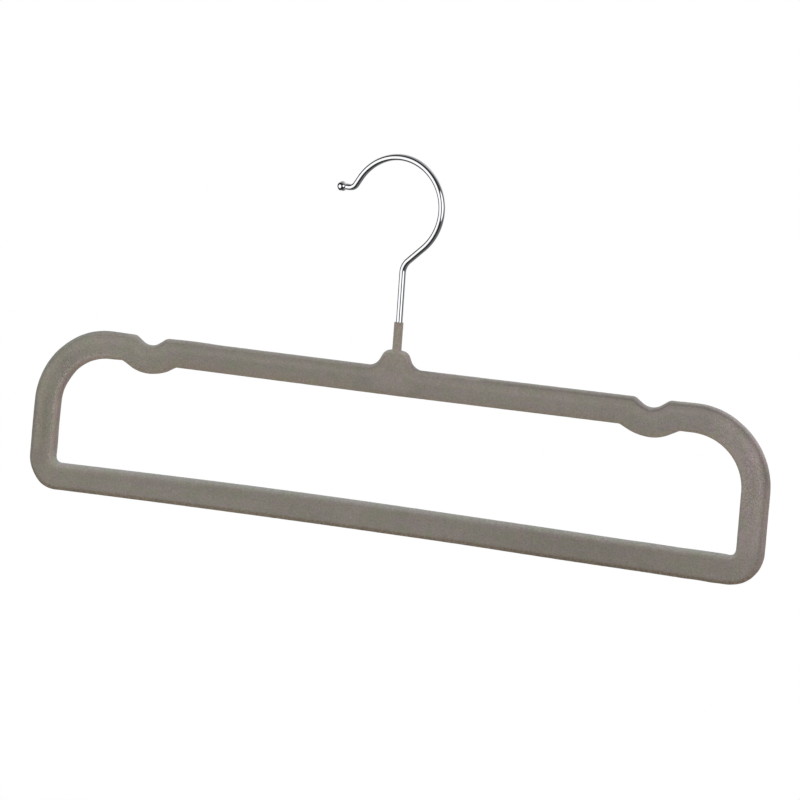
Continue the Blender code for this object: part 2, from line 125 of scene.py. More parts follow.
# Finish of the meshes: how near points have to be to become one, in a drawn outline, in a cut
# and elsewhere, and the sharpest angle that is shaded smooth
CLOSING_GAP = 0.02 * MM
CUT_CRUMB = 0.005 * MM
DOUBLES = 0.001 * MM
SMOOTH_ANGLE = math.radians(35)
QUAD_SIDES = 4

# Directions of axes
THROUGH = (0.0, 1.0, 0.0)
UPWARDS = (0.0, 0.0, 1.0)

# The neck sleeve's seat, and the gap that stands in for glue, running fits and press fits
NECK_SEAT_DEPTH = 4.0 * MM
NECK_SIDES = 64
CLEARANCE = 0.3 * MM

# The route of the hook's wire from the neck's mouth up to its stud in the ball, and its fineness
NECK_BEND_RADIUS = 60.0 * MM
HOOK_CENTRE_ACROSS = -8.07 * MM
HOOK_CENTRE_ABOVE_SHANK = 29.75 * MM
SHANK_TOP_ACROSS = -0.9 * MM
SHANK_TOP_ABOVE_NECK = 31.1 * MM
SHANK_BEND_RADIUS = 8.7 * MM
HOOK_ARC_END = math.radians(148.7)
TIP_LEAD_LENGTH = 6.7 * MM
TIP_BEND_RADIUS = 4.3 * MM
TIP_LENGTH = 7.0 * MM
TIP_DIRECTION = math.radians(178.3)
BALL_STUD_DIAMETER = 1.8 * MM
BALL_STUD_LENGTH = 2.0 * MM
WIRE_CHAMFER = 0.2 * MM
WIRE_SIDES = 48
WIRE_ARC_STEP = math.radians(3)
WIRE_STEP = 1.0 * MM

# The pin at the wire's foot
PIN_DIAMETER = 1.8 * MM
PIN_LENGTH = 7.0 * MM
PIN_TAIL_DIAMETER = 1.2 * MM
COLLAR_HEIGHT = 1.6 * MM

# Fineness and shape of the neck's profile; the flare at the hump goes from above down, in shares
# of its width and height
NECK_STEP = 0.6 * MM
NECK_LIP_DROP = 1.5 * MM
LIP_ROUND = 0.3
NECK_FRINGE = 0.8 * MM
FLARE_HEIGHT = 0.6 * MM
FLARE_WIDTH = 0.3 * MM
FLARE_STEPS = [(0.0, 1.0), (0.15, 0.4), (0.5, -0.3), (1.0, -1.0), (0.0, -2.0)]
MOUTH_GRIP = 0.05 * MM
NECK_FLOCK_LEAN = 0.25 * MM
BORE_MARGIN = 0.1 * MM

# The ball on the tip
BALL_SIDES = 48
BALL_RIM_ANGLE = math.radians(50)
BALL_LIP = 0.12 * MM
BALL_LIP_STEPS = 2

# How unevenly the flock lies
RUFFLE_SIZE = 3.5 * MM
RUFFLE_HEIGHT = 0.12 * MM
NECK_RUFFLE_SIZE = 1.0 * MM
NECK_RUFFLE_HEIGHT = 0.1 * MM

# Names and fineness of what is measured on the pieces for their materials
OUTER_ATTRIBUTE = "from_outer_edge"
GAP_ATTRIBUTE = "from_gap_edge"
WIRE_ATTRIBUTE = "along_wire"
CARD_ATTRIBUTE = "card_body"
EDGE_SAMPLE = 0.3 * MM
ARC_SAMPLES = 90
MIDDLE_SAMPLE = 0.5 * MM

# Patterns: the detail of their noise and its roughness, the half ranges of noise over which a
# mask rises from 0 to 1, the middle of noise and masks, and for a spot the share of its reach
# that is full and its reach through the loop (m)
FINE = 3.0
PLAIN = 2.0
COARSE = 1.0
PATCH_ROUGHNESS = 0.6
STREAK_ROUGHNESS = 0.5
CRISP_RANGE = 0.15
PATCH_RANGE = 0.25
RELIEF_RANGE = 0.4
MASK_MIDDLE = 0.5
SPOT_CORE = 0.2
SPOT_THROUGH = 1.0
WHITE = (1.0, 1.0, 1.0, 1.0)

# Colour patches, grains (size, detail and depth), fibres, lint and finish of the flock
HUE_PATCH = 5.5 * MM
PINK_PATCH = 6.5 * MM
PINK_SHARE = 0.75
PINK_SHIFT = (0.31, 0.17, 0.23)
TUFT = 1.1 * MM
FIBRE_TIP = 0.35 * MM
FLOCK_GRAINS = [
    (45.0 * MM, PLAIN, 0.05),
    (3.0 * MM, FINE, 0.09),
    (TUFT, FINE, 0.21),
    (FIBRE_TIP, COARSE, 0.2),
]
FIBRE_WIDTH = 0.5 * MM
FIBRE_STRETCH = 9.0
FIBRE_DEPTH = 0.14
LINT_SPACING = 2.0 * MM
LINT_SHARE = 0.09
LINT_RARITY = 0.93
LINT_SOFT_EDGE = 1.6
LINT_SOFT_START = 0.02
LINT_STRENGTH = 0.7
FLOCK_RELIEF = 0.25 * MM
FLOCK_BUMP = 0.6
TIP_SHARE = 0.6
VELVET_ROUGHNESS = (0.9, 1.0)
NECK_ROUGHNESS = (0.88, 1.0)
SHEEN_ROUGHNESS = 0.5
FLOCK_SPECULAR = 0.15

# Cool and warm streaks along the bars: their width, and how many times longer they are
HUE_STREAK = 3.0 * MM
HUE_STRETCH = 3.0
HUE_SHIFT = (0.13, 0.29, 0.41)
COOL_TINT = (1.008, 0.994, 1.034, 1.0)
WARM_TINT = (0.992, 1.006, 0.966, 1.0)
STREAK_LOW = 0.32
STREAK_HIGH = 0.68
SIDE_WIDTH = 16.0 * MM
SIDE_FADE = 22.0 * MM

# Painted light and shade, partly where the nap leans: patches made lighter, darker or tinted, such
# as the lit right end and the middle below the neck: place and reach (mm), and the gain, which is one
# number or has one each for red, green and blue
NAP_AND_PAINTED_LIGHT = [
    (196.5, 45, 20, 50, (0.08, 0.05, 0.08)),
    (196.5, 45, 8, 55, (0.10, 0.08, 0.10)),
    (186, 78, 24, 26, (0.18, 0.16, 0.20)),
    (150, 84, 24, 12, (0.01, 0.0, 0.05)),
    (-199, 36, 6, 34, (-0.06, -0.06, -0.12)),
    (-200, 60, 7, 20, (0.12, 0.12, 0.10)),
    (-192.2, 40, 5, 44, (0.12, 0.12, 0.08)),
    (-186, 8, 20, 13, (0.08, 0.08, 0.05)),
    (-160, 84, 52, 16, (0.09, 0.11, 0.09)),
    (-120, 6.5, 80, 6.5, 0.07),
    (120, 7, 100, 20, (-0.09, -0.09, -0.10)),
    (130, 15.5, 70, 3, (0.07, 0.08, 0.08)),
    (75, 83, 70, 6, 0.05),
    (-75, 87, 70, 3, 0.03),
    (0, 97, 17, 9, (0.19, 0.17, 0.17)),
    (0, 84, 18, 9, (0.15, 0.14, 0.14)),
    (0, 77, 40, 3, -0.05),
]

# Where single fibre tips catch the light: place and reach (mm), and strength
SPECKLE = 0.65 * MM
SPECKLE_SHIFT = (0.07, 0.37, 0.19)
SPECKLED = [
    (196, 54, 12, 42, 0.36),
    (182, 80, 18, 15, 0.22),
    (-187, 62, 5, 30, 0.4),
    (-200, 45, 12, 50, 0.16),
    (-139, 72, 26, 6, 0.3),
    (-160, 84, 40, 10, 0.1),
    (150, 80, 45, 12, 0.1),
]

# The same along an edge: the edge, distance and half width, the stretches across and upwards in
# which it shows (all mm), and strength
SPECKLED_BANDS = [
    (GAP_ATTRIBUTE, 2.9, 1.0, (-230, -140), (14, 98), 0.55),
    (GAP_ATTRIBUTE, 0.8, 1.6, (60, 190), (2, 24), 0.2),
    (OUTER_ATTRIBUTE, 0.3, 1.8, (-60, 205), (-20, 8), 0.8),
]

# Painted shade of the mould line under the flock: a dark line along the outer edge, where the rim's
# faint ridge turns from the light; its wear has two levels of patches, and the shares of the line
# that are left at each
SEAM_PLACE = 1.9 * MM
SEAM_HALF_WIDTH = 0.55 * MM
SEAM_BREAK = 14.0 * MM
SEAM_WEAR = (0.1, 0.7, 0.25, 1.0)
SEAM_SHADE_GAIN = -0.12

# Painted light and shade along the edges, where the rounded rims face the lamps above or turn away
# below, with their tints: the edge, the band's distance from it and half width, the stretch across
# and the stretch upwards in which it shows (all mm), and the gain as above
BAND_FADE = 6.0 * MM
EVERYWHERE = (-230, 230)
EDGE_LIGHT_AND_SHADE = [
    (OUTER_ATTRIBUTE, 0.9, 1.7, (-230, 45), (18, 95), -0.10),
    (OUTER_ATTRIBUTE, 1.3, 1.5, (45, 230), (50, 130), -0.22),
    (OUTER_ATTRIBUTE, 1.5, 0.7, (110, 230), (60, 130), -0.13),
    (OUTER_ATTRIBUTE, 0.3, 0.9, (150, 230), (60, 130), 0.14),
    (OUTER_ATTRIBUTE, 2.6, 1.1, (175, 230), (4, 85), -0.12),
    (OUTER_ATTRIBUTE, 0.0, 1.4, (-230, -150), (-10, 100), -0.24),
    (OUTER_ATTRIBUTE, 4.8, 3.2, EVERYWHERE, (18, 95), 0.12),
    (OUTER_ATTRIBUTE, 3.6, 2.4, (-230, -185), (20, 75), 0.08),
    (OUTER_ATTRIBUTE, 0.8, 2.4, (-175, 230), (-20, 130), (0.045, 0.0, -0.02)),
    (OUTER_ATTRIBUTE, 0.5, 2.8, EVERYWHERE, (-20, 14), (0.02, 0.0, -0.03)),
    (OUTER_ATTRIBUTE, 0.6, 1.6, (-40, 196), (-20, 8), -0.26),
    (OUTER_ATTRIBUTE, 1.2, 1.5, (-26, -2), (80, 110), (0.02, 0.06, 0.05)),
    (OUTER_ATTRIBUTE, 0.3, 0.9, (4, 26), (82, 104), -0.24),
    (OUTER_ATTRIBUTE, 1.9, 0.9, (6, 34), (80, 104), 0.13),
    (GAP_ATTRIBUTE, 0.0, 3.2, EVERYWHERE, (2, 24), (0.19, 0.21, 0.21)),
    (GAP_ATTRIBUTE, 2.5, 3.0, (-200, -100), (2, 24), 0.09),
    (GAP_ATTRIBUTE, 1.2, 2.0, EVERYWHERE, (18, 130), 0.10),
    (GAP_ATTRIBUTE, 1.8, 2.4, (165, 230), (40, 80), 0.08),
    (GAP_ATTRIBUTE, 2.2, 2.6, (-230, -165), (40, 80), 0.05),
    (GAP_ATTRIBUTE, 2.4, 0.8, (-230, -150), (12, 84), (0.15, 0.15, 0.17)),
    (GAP_ATTRIBUTE, 1.0, 2.0, (-230, -150), (20, 86), (0.04, -0.01, 0.03)),
    (GAP_ATTRIBUTE, 0.5, 3.0, (-190, 190), (62, 100), (0.05, 0.0, -0.04)),
    (GAP_ATTRIBUTE, 3.0, 4.0, (-150, -20), (62, 100), (0.03, 0.0, -0.03)),
    (GAP_ATTRIBUTE, 0.3, 1.2, (-230, -140), (20, 90), (-0.05, -0.08, -0.12)),
]

# Painted shade on the bottom bar's underside, darker and browner, with its mottle and a further painted
# shade towards the right
UNDERSIDE_WIDTH = 3.4 * MM
UNDERSIDE_FROM = 6.0 * MM
UNDERSIDE_TO = 14.0 * MM
UNDERSIDE_MOTTLE = 1.5 * MM
UNDERSIDE_MOTTLE_GAIN = (0.5, 0.46, 0.42)
UNDERSIDE_RIGHT_SHADE = (120, 0, 110, 5, -0.12)

# The neck's flock: lighter than the loop's, with painted shade in specks near its rim
NECK_GAIN = (0.27, 0.21, 0.18)
RIM_BAND = 1.4 * MM
RIM_SPECK = 0.7 * MM
RIM_SHADE_GAIN = (-0.36, -0.38, -0.42)

# Patterns and finish of the metal pieces
DRAWN_LINE = 0.12 * MM
DRAWN_STRETCH = 60.0
DRAWN_RELIEF = 0.001 * MM
DRAWN_BUMP = 0.5
HAZE_PATCH = 4.0 * MM
HAZE_DEPTH = 0.03
CHROME_ROUGHNESS = (0.035, 0.07)
TURNING_MARK = 0.08 * MM
RING_DEPTH = 0.08
STAIN_DEPTH = 0.06
STEEL_ROUGHNESS = (0.25, 0.38)

# Patterns and finish of the plastic pieces
FLOW_MARK = 30.0 * MM
FLOW_DEPTH = 0.08
SPARK_GRAIN = 0.25 * MM
SPARK_DEPTH = 0.05
SPARK_RELIEF = 0.05 * MM
FINE_RELIEF = 0.02 * MM
CORE_ROUGHNESS = (0.5, 0.65)
NYLON_CLOUD = 1.5 * MM
CLOUD_DEPTH = 0.06
NYLON_ROUGHNESS = (0.35, 0.5)
NYLON_GLOW = 0.1
NYLON_GLOW_REACH = 0.5 * MM

# The studio: the floor, and the lamps with their places and tints
FLOOR_RADIUS = 12.0
FLOOR_SIDES = 96
FLOOR_PATCH = 0.5
FLOOR_MOTTLE = 0.01
FLOOR_ROUGHNESS = 0.9
FLOOR_SPECULAR = 0.1
FLOOR_LIFT = 0.4
FLOOR_FADE_FROM = 0.45
FLOOR_FADE_TO = 0.92
LAMP_TARGET = (0.0, 0.0, -0.1)
LAMP_SIZE = 1.0
LAMPS = {
    "top": ((0.0, -0.3, 1.9), (0.72, 0.84, 1.0)),
    "key": ((2.0, -1.45, 0.3), (1.0, 0.78, 0.9)),
    "fill": ((-1.6, -1.7, 0.1), (0.9, 1.0, 0.65)),
}

# The photograph's camera
CAMERA_PLACE = Vector((0.36393482, -1.25431382, 0.020851))
CAMERA_RIGHT = (0.9556258, 0.27920846, 0.09392534)
CAMERA_FORWARD = (-0.26851246, 0.95673032, -0.11210776)
CAMERA_LENS = 110.83
CAMERA_SENSOR = 36.0

# What the chrome mirrors: dark drapes and two soft boxes. Each has a name, a level, a distance
# and, in degrees round the camera, its place across and up, half its size, and its soft share
HOOK_MIDDLE = Vector((0.0, 0.0, -0.03))
CARD_SEGMENTS = 96
CARD_RINGS = 60
CARDS = [
    ("wide_drape", 0.16, 2.8, 27, -36, 109, 119, 0.3),
    ("upper_drape", 0.33, 2.7, -2, 94, 88, 77, 0.9),
    ("left_drape", 0.03, 2.6, -85, -11, 131, 115, 0.17),
    ("left_soft_box", 1.26, 2.5, -66, -8, 39, 45, 0.12),
    ("right_soft_box", 1.44, 2.4, 27, -1, 29, 22, 0.12),
]


def length(name, description, millimetres):
    """A property that holds a length, given in millimetres."""
    return FloatProperty(
        name=name,
        description=description,
        default=millimetres * MM,
        min=0.0,
        precision=5,
        unit="LENGTH",
        subtype="DISTANCE",
    )


def colour(name, description, red, green, blue):
    """A property that holds a linear colour."""
    return FloatVectorProperty(
        name=name,
        description=description,
        default=(red, green, blue),
        min=0.0,
        max=1.0,
        size=3,
        subtype="COLOR",
    )


def share(name, description, value):
    """A property that holds a number from 0 to 1."""
    return FloatProperty(
        name=name, description=description, default=value, min=0.0, max=1.0, subtype="FACTOR"
    )


def power(name, description, watts):
    """A property that holds a lamp's power."""
    return FloatProperty(
        name=name, description=description, default=watts, min=0.0, unit="POWER", subtype="POWER"
    )


class HangerLoopSizes(PropertyGroup):
    """Sizes of the velvet loop, measured over the flock."""

    width: length("Width", "Length of the loop from end to end", 411.4)
    height: length("Height", "Height of the loop without its hump", 91.2)
    thickness: length("Thickness", "Thickness of the loop from front to rear", 6.2)
    edge_round: length("Edge rounding", "Radius of the rounded rims", 2.4)
    bottom_corner: length("Bottom corner", "Radius of the two bottom corners", 18.2)
    top_corner: length("Top corner", "Radius of the two top corners", 42.5)
    gap_bottom_corner: length("Gap bottom corner", "Radius inside the bottom corners", 4.4)
    gap_top_corner: length("Gap top corner", "Radius inside the top corners", 27.9)
    bottom_bar: length("Bottom bar", "Height of the bar that carries the trousers", 15.1)
    top_bar: length("Top bar", "Height of the bar below the hook", 15.0)
    side_foot: length("Side bar at its foot", "Width of the side bars at the bottom", 14.7)
    side_head: length("Side bar at its head", "Width of the side bars at the top", 14.9)
    notch_depth: length("Notch depth", "Depth of the strap notches' flanks", 6.6)
    flock: length("Flock", "Thickness of the flocked skin", 0.4)
    neck_height: length("Neck height", "Height of the neck above the hump", 14.1)
    neck_wall: length("Neck wall", "Thickness of the flocked tube round the wire", 0.35)


class HangerHookSizes(PropertyGroup):
    """Sizes of the wire hook."""

    wire: length("Wire", "Diameter of the hook's wire", 3.6)
    radius: length("Hook radius", "Radius of the hook's arc at the wire's middle", 26.6)
    ball: length("Ball", "Diameter of the ball on the hook's tip", 5.5)
    turn: FloatProperty(
        name="Turn",
        description="Turn of the hook about the swivel at rest",
        default=math.radians(-10.1),
        unit="ROTATION",
        subtype="ANGLE",
    )


class HangerFinish(PropertyGroup):
    """Colours and finishes of the hanger's pieces."""

    flock: colour("Flock", "Main colour of the velvet", 0.218, 0.2035, 0.1755)
    flock_green: colour("Greenish flock", "Velvet where it leans to green", 0.202, 0.2075, 0.162)
    flock_pink: colour("Pinkish flock", "Velvet where it leans to lilac", 0.2325, 0.2005, 0.190)
    # Painted shade: the colour that the underside's painted shade is mixed to
    flock_shade: colour("Shaded flock", "Velvet of the underside", 0.168, 0.1365, 0.099)
    lint: colour("Lint", "Stray fibres caught in the velvet", 0.42, 0.40, 0.36)
    sheen: share("Sheen", "Strength of the velvet's soft sheen", 0.25)
    chrome: colour("Chrome", "Plating of the wire and the ball", 0.80, 0.81, 0.83)
    steel: colour("Steel", "Turned steel of the retaining collar", 0.56, 0.56, 0.57)
    core: colour("Core", "Moulded plastic under the velvet", 0.19, 0.175, 0.15)
    nylon: colour("Nylon", "Natural nylon of the thrust washer", 0.75, 0.74, 0.70)


class HangerStudio(PropertyGroup):
    """The floor and the lights."""

    floor: colour("Floor", "Colour of the pale floor", 0.66, 0.62, 0.56)
    floor_drop: length("Floor drop", "Height of the loop above the floor", 420.0)
    top: power("Top lamp", "Power of the cool lamp above", 29.5)
    key: power("Key lamp", "Power of the lamp in front on the right", 16.0)
    fill: power("Fill lamp", "Power of the lamp in front on the left", 6.0)
    room: share("Room light", "Strength of the light that comes from all round", 0.66)


def deselect_all():
    """Leave nothing selected, so that the next operator acts on the new piece alone."""
    if bpy.context.object and bpy.context.object.mode != "OBJECT":
        bpy.ops.object.mode_set(mode="OBJECT")
    bpy.ops.object.select_all(action="DESELECT")


def only(piece):
    """Make one piece the selected and active one."""
    deselect_all()
    piece.select_set(True)
    bpy.context.view_layer.objects.active = piece


def edit(mode):
    """Enter edit mode with all vertices, edges or faces selected."""
    bpy.ops.object.mode_set(mode="EDIT")
    bpy.ops.mesh.select_mode(type=mode)
    bpy.ops.mesh.select_all(action="SELECT")


def select_where(piece, parts, wanted):
    """In edit mode, select those of a piece's edges or polygons for which wanted holds."""
    bpy.ops.mesh.select_all(action="DESELECT")
    bpy.ops.object.mode_set(mode="OBJECT")
    for part in getattr(piece.data, parts):
        part.select = wanted(part)
    bpy.ops.object.mode_set(mode="EDIT")


def start_point(name, spot):
    """A new piece in edit mode that holds a single vertex."""
    deselect_all()
    bpy.ops.mesh.primitive_plane_add(size=MM)
    piece = bpy.context.object
    piece.name = piece.data.name = name
    edit("VERT")
    bpy.ops.mesh.merge(type="CENTER")
    bpy.ops.transform.translate(value=spot)
    return piece


def join(pieces):
    """Join several pieces into the first one."""
    only(pieces[0])
    for piece in pieces[1:]:
        piece.select_set(True)
    bpy.ops.object.join()
    return pieces[0]


def settle(piece, location, turn=0.0):
    """Move a finished piece to its place, and put that place into its mesh."""
    only(piece)
    piece.location = location
    piece.rotation_euler = (0.0, 0.0, turn)
    bpy.ops.object.transform_apply(location=True, rotation=True, scale=True)


def finish_mesh(piece):
    """Merge doubles, turn the faces outwards and shade the piece smooth up to an angle."""
    only(piece)
    edit("VERT")
    bpy.ops.mesh.remove_doubles(threshold=DOUBLES)
    bpy.ops.mesh.normals_make_consistent(inside=False)
    bpy.ops.object.mode_set(mode="OBJECT")
    bpy.ops.object.shade_smooth_by_angle(angle=SMOOTH_ANGLE)


def in_front_plane(x, z):
    """A point of the loop's drawing, which lies in the XZ plane."""
    return Vector((x, 0.0, z))


def notch_place(sizes):
    """Distance of each notch from the middle."""
    return sizes.width / 2 - NOTCH_FROM_END


def outer_corners(sizes):
    """Corners (x, z, radius) of the right half of the outer edge, from the bottom up to the hump."""
    half = sizes.width / 2
    notch = notch_place(sizes)
    return [
        (half, 0.0, sizes.bottom_corner),
        (half - math.tan(SIDE_LEAN) * sizes.height, sizes.height, sizes.top_corner),
        (notch + NOTCH_HALF_MOUTH, sizes.height, NOTCH_LIP_RADIUS),
        (notch, sizes.height - sizes.notch_depth, NOTCH_FLOOR_RADIUS),
        (notch - NOTCH_HALF_MOUTH, sizes.height, NOTCH_LIP_RADIUS),
        (HUMP_FOOT_HALF_WIDTH, sizes.height, HUMP_FOOT_RADIUS),
        (HUMP_TOP_HALF_WIDTH, sizes.height + HUMP_HEIGHT, HUMP_TOP_RADIUS),
    ]


def gap_corners(sizes):
    """Corners (x, z, radius) of the right half of the gap, paired with those of the outer edge."""
    half = sizes.width / 2
    lean = math.tan(SIDE_LEAN)
    roof = sizes.height - sizes.top_bar
    notch = notch_place(sizes)
    return [
        (half - sizes.side_foot - lean * sizes.bottom_bar, sizes.bottom_bar, sizes.gap_bottom_corner),
        (half - sizes.side_head - lean * roof, roof, sizes.gap_top_corner),
        (notch + BULGE_HALF_WIDTH, roof, BULGE_ROOT_RADIUS),
        (notch, roof - BULGE_FLANK_DEPTH, BULGE_RADIUS),
        (notch - BULGE_HALF_WIDTH, roof, BULGE_ROOT_RADIUS),
        (HUMP_REACH, roof, 0.0),
    ]


def whole(right):
    """Corners all round, anticlockwise from the bottom right, from those of the right half."""
    return right + [(-x, z, radius) for x, z, radius in reversed(right)]


def rounded(corners, inset):
    """For each corner the start, end, centre, turn and length of its arc, moved left by inset."""
    count = len(corners)
    points = [Vector((x, z)) for x, z, _ in corners]
    along = [(points[(i + 1) % count] - points[i]).normalized() for i in range(count)]
    arcs = []
    for i, point in enumerate(points):
        before, after = along[i - 1], along[i]
        into_before, into_after = Vector((-before.y, before.x)), Vector((-after.y, after.x))
        corner = point + (into_before + into_after) / (1 + into_before.dot(into_after)) * inset
        turn = math.atan2(before.cross(after), before.dot(after))
        radius = max(corners[i][2] - math.copysign(inset, turn), 0.0) if corners[i][2] else 0.0
        tangent = radius * math.tan(abs(turn) / 2)
        start = corner - before * tangent
        centre = start + into_before * math.copysign(radius, turn)
        arcs.append((start, corner + after * tangent, centre, turn, radius * abs(turn)))
    return arcs


def steps_of(arcs, step):
    """Steps of the straight edge before each corner and of its arc, at about the given step."""
    counts = []
    for i, (start, _, _, turn, arc) in enumerate(arcs):
        straight = (start - arcs[i - 1][1]).length
        arc_steps = max(round(abs(turn) / WIDEST_TURN), round(arc / step)) if arc else 0
        counts.append([max(1, round(straight / step)), arc_steps])
    return counts


def matched_steps(outer, gap, step):
    """Steps for both outlines that pair up corner by corner, with the hump over the plain roof."""
    outer_counts, gap_counts = steps_of(outer, step), steps_of(gap, step)
    half = len(gap) // 2
    extra = len(outer) - len(gap)
    for i in range(len(gap)):
        over = outer_counts[i if i < half else i + extra]
        under = gap_counts[i]
        if i not in (half - 1, half):
            over[1] = under[1] = max(over[1], under[1])
        if i != half:
            over[0] = under[0] = max(over[0], under[0])
    hump = outer_counts[half - 1 : half + extra + 1]
    gap_counts[half][0] = sum(straight + arc for straight, arc in hump) - hump[0][0]
    return outer_counts, gap_counts


def draw_outline(name, arcs, counts):
    """Draw a closed outline as a modeller does: straight runs extruded, corners spun."""
    pen = arcs[-1][1]
    piece = start_point(name, in_front_plane(*pen))
    for (start, end, centre, turn, arc), (straight, arc_steps) in zip(arcs, counts):
        step = (start - pen) / straight
        bpy.ops.mesh.extrude_repeat(steps=straight, offset=in_front_plane(*step))
        if arc:
            middle = in_front_plane(*centre)
            bpy.ops.mesh.spin(steps=arc_steps, angle=turn, center=middle, axis=THROUGH)
        pen = end
    bpy.ops.mesh.select_all(action="SELECT")
    bpy.ops.mesh.remove_doubles(threshold=CLOSING_GAP)
    bpy.ops.object.mode_set(mode="OBJECT")
    if len(piece.data.vertices) != sum(straight + arc for straight, arc in counts):
        raise RuntimeError(f"The outline {name} isn't closed")
    return piece


def warp(piece):
    """Move the places where the moulding is a little out of true, with soft ends."""
    for x, z, reach_x, reach_z, shift_x, shift_z in WARPS:
        shift = in_front_plane(shift_x, shift_z) * MM
        for vertex in piece.data.vertices:
            across = (vertex.co.x / MM - x) / reach_x
            up = (vertex.co.z / MM - z) / reach_z
            gone = across * across + up * up
            if gone < 1:
                vertex.co += shift * (1 - gone) ** 2


def bow_bars(piece, sizes):
    """Bow the bottom bar upwards and let the top bar dip towards the neck."""
    half = sizes.width / 2
    outer_reach = half - sizes.bottom_corner
    gap_reach = half - sizes.side_foot - math.tan(SIDE_LEAN) * sizes.bottom_bar
    for vertex in piece.data.vertices:
        x, _, z = vertex.co
        if z > sizes.height / 2:
            vertex.co.z -= TOP_BAR_DIP * max(0.0, 1 - abs(x) / TOP_BAR_DIP_REACH)
            continue
        up_bar = min(z / sizes.bottom_bar, 1.0)
        outer_bow = BOTTOM_EDGE_BOW * max(0.0, 1 - (x / outer_reach) ** 2)
        trouser_bow = TROUSER_EDGE_BOW * max(0.0, 1 - (x / gap_reach) ** 2)
        vertex.co.z += outer_bow + (trouser_bow - outer_bow) * up_bar
    warp(piece)


def loop_wall(name, sizes, inset, step, round_steps, cuts):
    """A closed wall in the loop's shape: the outlines bridged, extruded, rounded and cut finer."""
    outer = rounded(whole(outer_corners(sizes)), inset)
    gap = rounded(whole(gap_corners(sizes)), -inset)
    outer_counts, gap_counts = matched_steps(outer, gap, step)
    wall = join([draw_outline(name, outer, outer_counts), draw_outline("gap", gap, gap_counts)])
    edit("EDGE")
    bpy.ops.mesh.bridge_edge_loops()
    bpy.ops.mesh.select_all(action="SELECT")
    thickness = sizes.thickness - 2 * inset
    bpy.ops.transform.translate(value=(0.0, -thickness / 2, 0.0))
    bpy.ops.mesh.extrude_region_move(TRANSFORM_OT_translate={"value": (0.0, thickness, 0.0)})
    bpy.ops.mesh.select_all(action="SELECT")
    bpy.ops.mesh.normals_make_consistent(inside=False)
    bpy.ops.mesh.select_all(action="DESELECT")
    bpy.ops.mesh.edges_select_sharp(sharpness=RIM_ANGLE)
    bpy.ops.mesh.bevel(
        offset=sizes.edge_round - inset, segments=round_steps, clamp_overlap=False, affect="EDGES"
    )
    verts = wall.data.vertices
    select_where(
        wall, "edges", lambda edge: math.dist(*(verts[i].co for i in edge.vertices)) > FLAT_WIDTH
    )
    bpy.ops.mesh.subdivide(number_cuts=cuts)
    bpy.ops.object.mode_set(mode="OBJECT")
    return wall


def mark_distances(wall, name, corners):
    """Give each point of a wall its distance from an edge of the loop, seen from the front."""
    edge = rounded(whole(corners), 0.0)
    spots = []
    for i, (start, _, centre, turn, _) in enumerate(edge):
        before = edge[i - 1][1]
        steps = max(1, round((start - before).length / EDGE_SAMPLE))
        spots += [before.lerp(start, k / steps) for k in range(steps)]
        arm = start - centre
        for k in range(ARC_SAMPLES):
            spots.append(centre + Matrix.Rotation(turn * k / ARC_SAMPLES, 2) @ arm)
    tree = kdtree.KDTree(len(spots))
    for i, spot in enumerate(spots):
        tree.insert(in_front_plane(*spot), i)
    tree.balance()
    distances = wall.data.attributes.new(name, "FLOAT", "POINT")
    for vertex in wall.data.vertices:
        _, _, gone = tree.find(in_front_plane(vertex.co.x, vertex.co.z))
        distances.data[vertex.index].value = gone


def lay_flock(piece, size, height, group=""):
    """Let a piece's flock lie a little unevenly, as short fibres do."""
    clouds = bpy.data.textures.new("flock_lie", "CLOUDS")
    clouds.noise_scale = size
    only(piece)
    lie = piece.modifiers.new("flock_lie", "DISPLACE")
    lie.texture = clouds
    lie.strength = height
    lie.vertex_group = group
    bpy.ops.object.modifier_apply(modifier=lie.name)


def cut_mouth(skin, sizes, hook):
    """Cut the hole at the hump's top through which the neck stands in the core."""
    deselect_all()
    seat = hump_top(sizes) - NECK_SEAT_DEPTH
    mouth_height = NECK_SEAT_DEPTH + sizes.neck_height
    bpy.ops.mesh.primitive_cylinder_add(
        vertices=NECK_SIDES,
        radius=neck_radius(sizes, hook) - MOUTH_GRIP,
        depth=mouth_height,
        location=(0.0, 0.0, seat + mouth_height / 2),
    )
    plug = bpy.context.object
    only(skin)
    cut = skin.modifiers.new("mouth", "BOOLEAN")
    cut.operation = "DIFFERENCE"
    cut.solver = "EXACT"
    cut.object = plug
    bpy.ops.object.modifier_apply(modifier=cut.name)
    only(plug)
    bpy.ops.object.delete()
    only(skin)
    edit("VERT")
    bpy.ops.mesh.remove_doubles(threshold=CUT_CRUMB)
    bpy.ops.mesh.select_all(action="DESELECT")
    bpy.ops.mesh.select_face_by_sides(number=QUAD_SIDES, type="GREATER")
    bpy.ops.mesh.quads_convert_to_tris(quad_method="BEAUTY", ngon_method="BEAUTY")
    bpy.ops.object.mode_set(mode="OBJECT")


def hump_top(sizes):
    """Height of the hump's top above the loop's bottom level."""
    return sizes.height - TOP_BAR_DIP + HUMP_HEIGHT


def neck_radius(sizes, hook):
    """Outer radius of the neck: the wire, a running gap and the flocked wall."""
    return hook.wire / 2 + CLEARANCE + sizes.neck_wall


def loop_place(sizes):
    """Where the zero of the hanger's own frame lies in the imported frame."""
    return SWIVEL - Vector((0.0, 0.0, hump_top(sizes) - NECK_SEAT_DEPTH))


def dress(piece, body, node, finish):
    """Give a finished piece its material, and let it stand for a node of the frame."""
    piece.data.materials.clear()
    piece.data.materials.append(finish)
    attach(piece, body)
    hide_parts(node)


def set_inputs(tree, node, values):
    """Set or link inputs of a node, by name or number."""
    for name, value in values.items():
        if isinstance(value, bpy.types.NodeSocket):
            tree.links.new(value, node.inputs[name])
        else:
            node.inputs[name].default_value = value


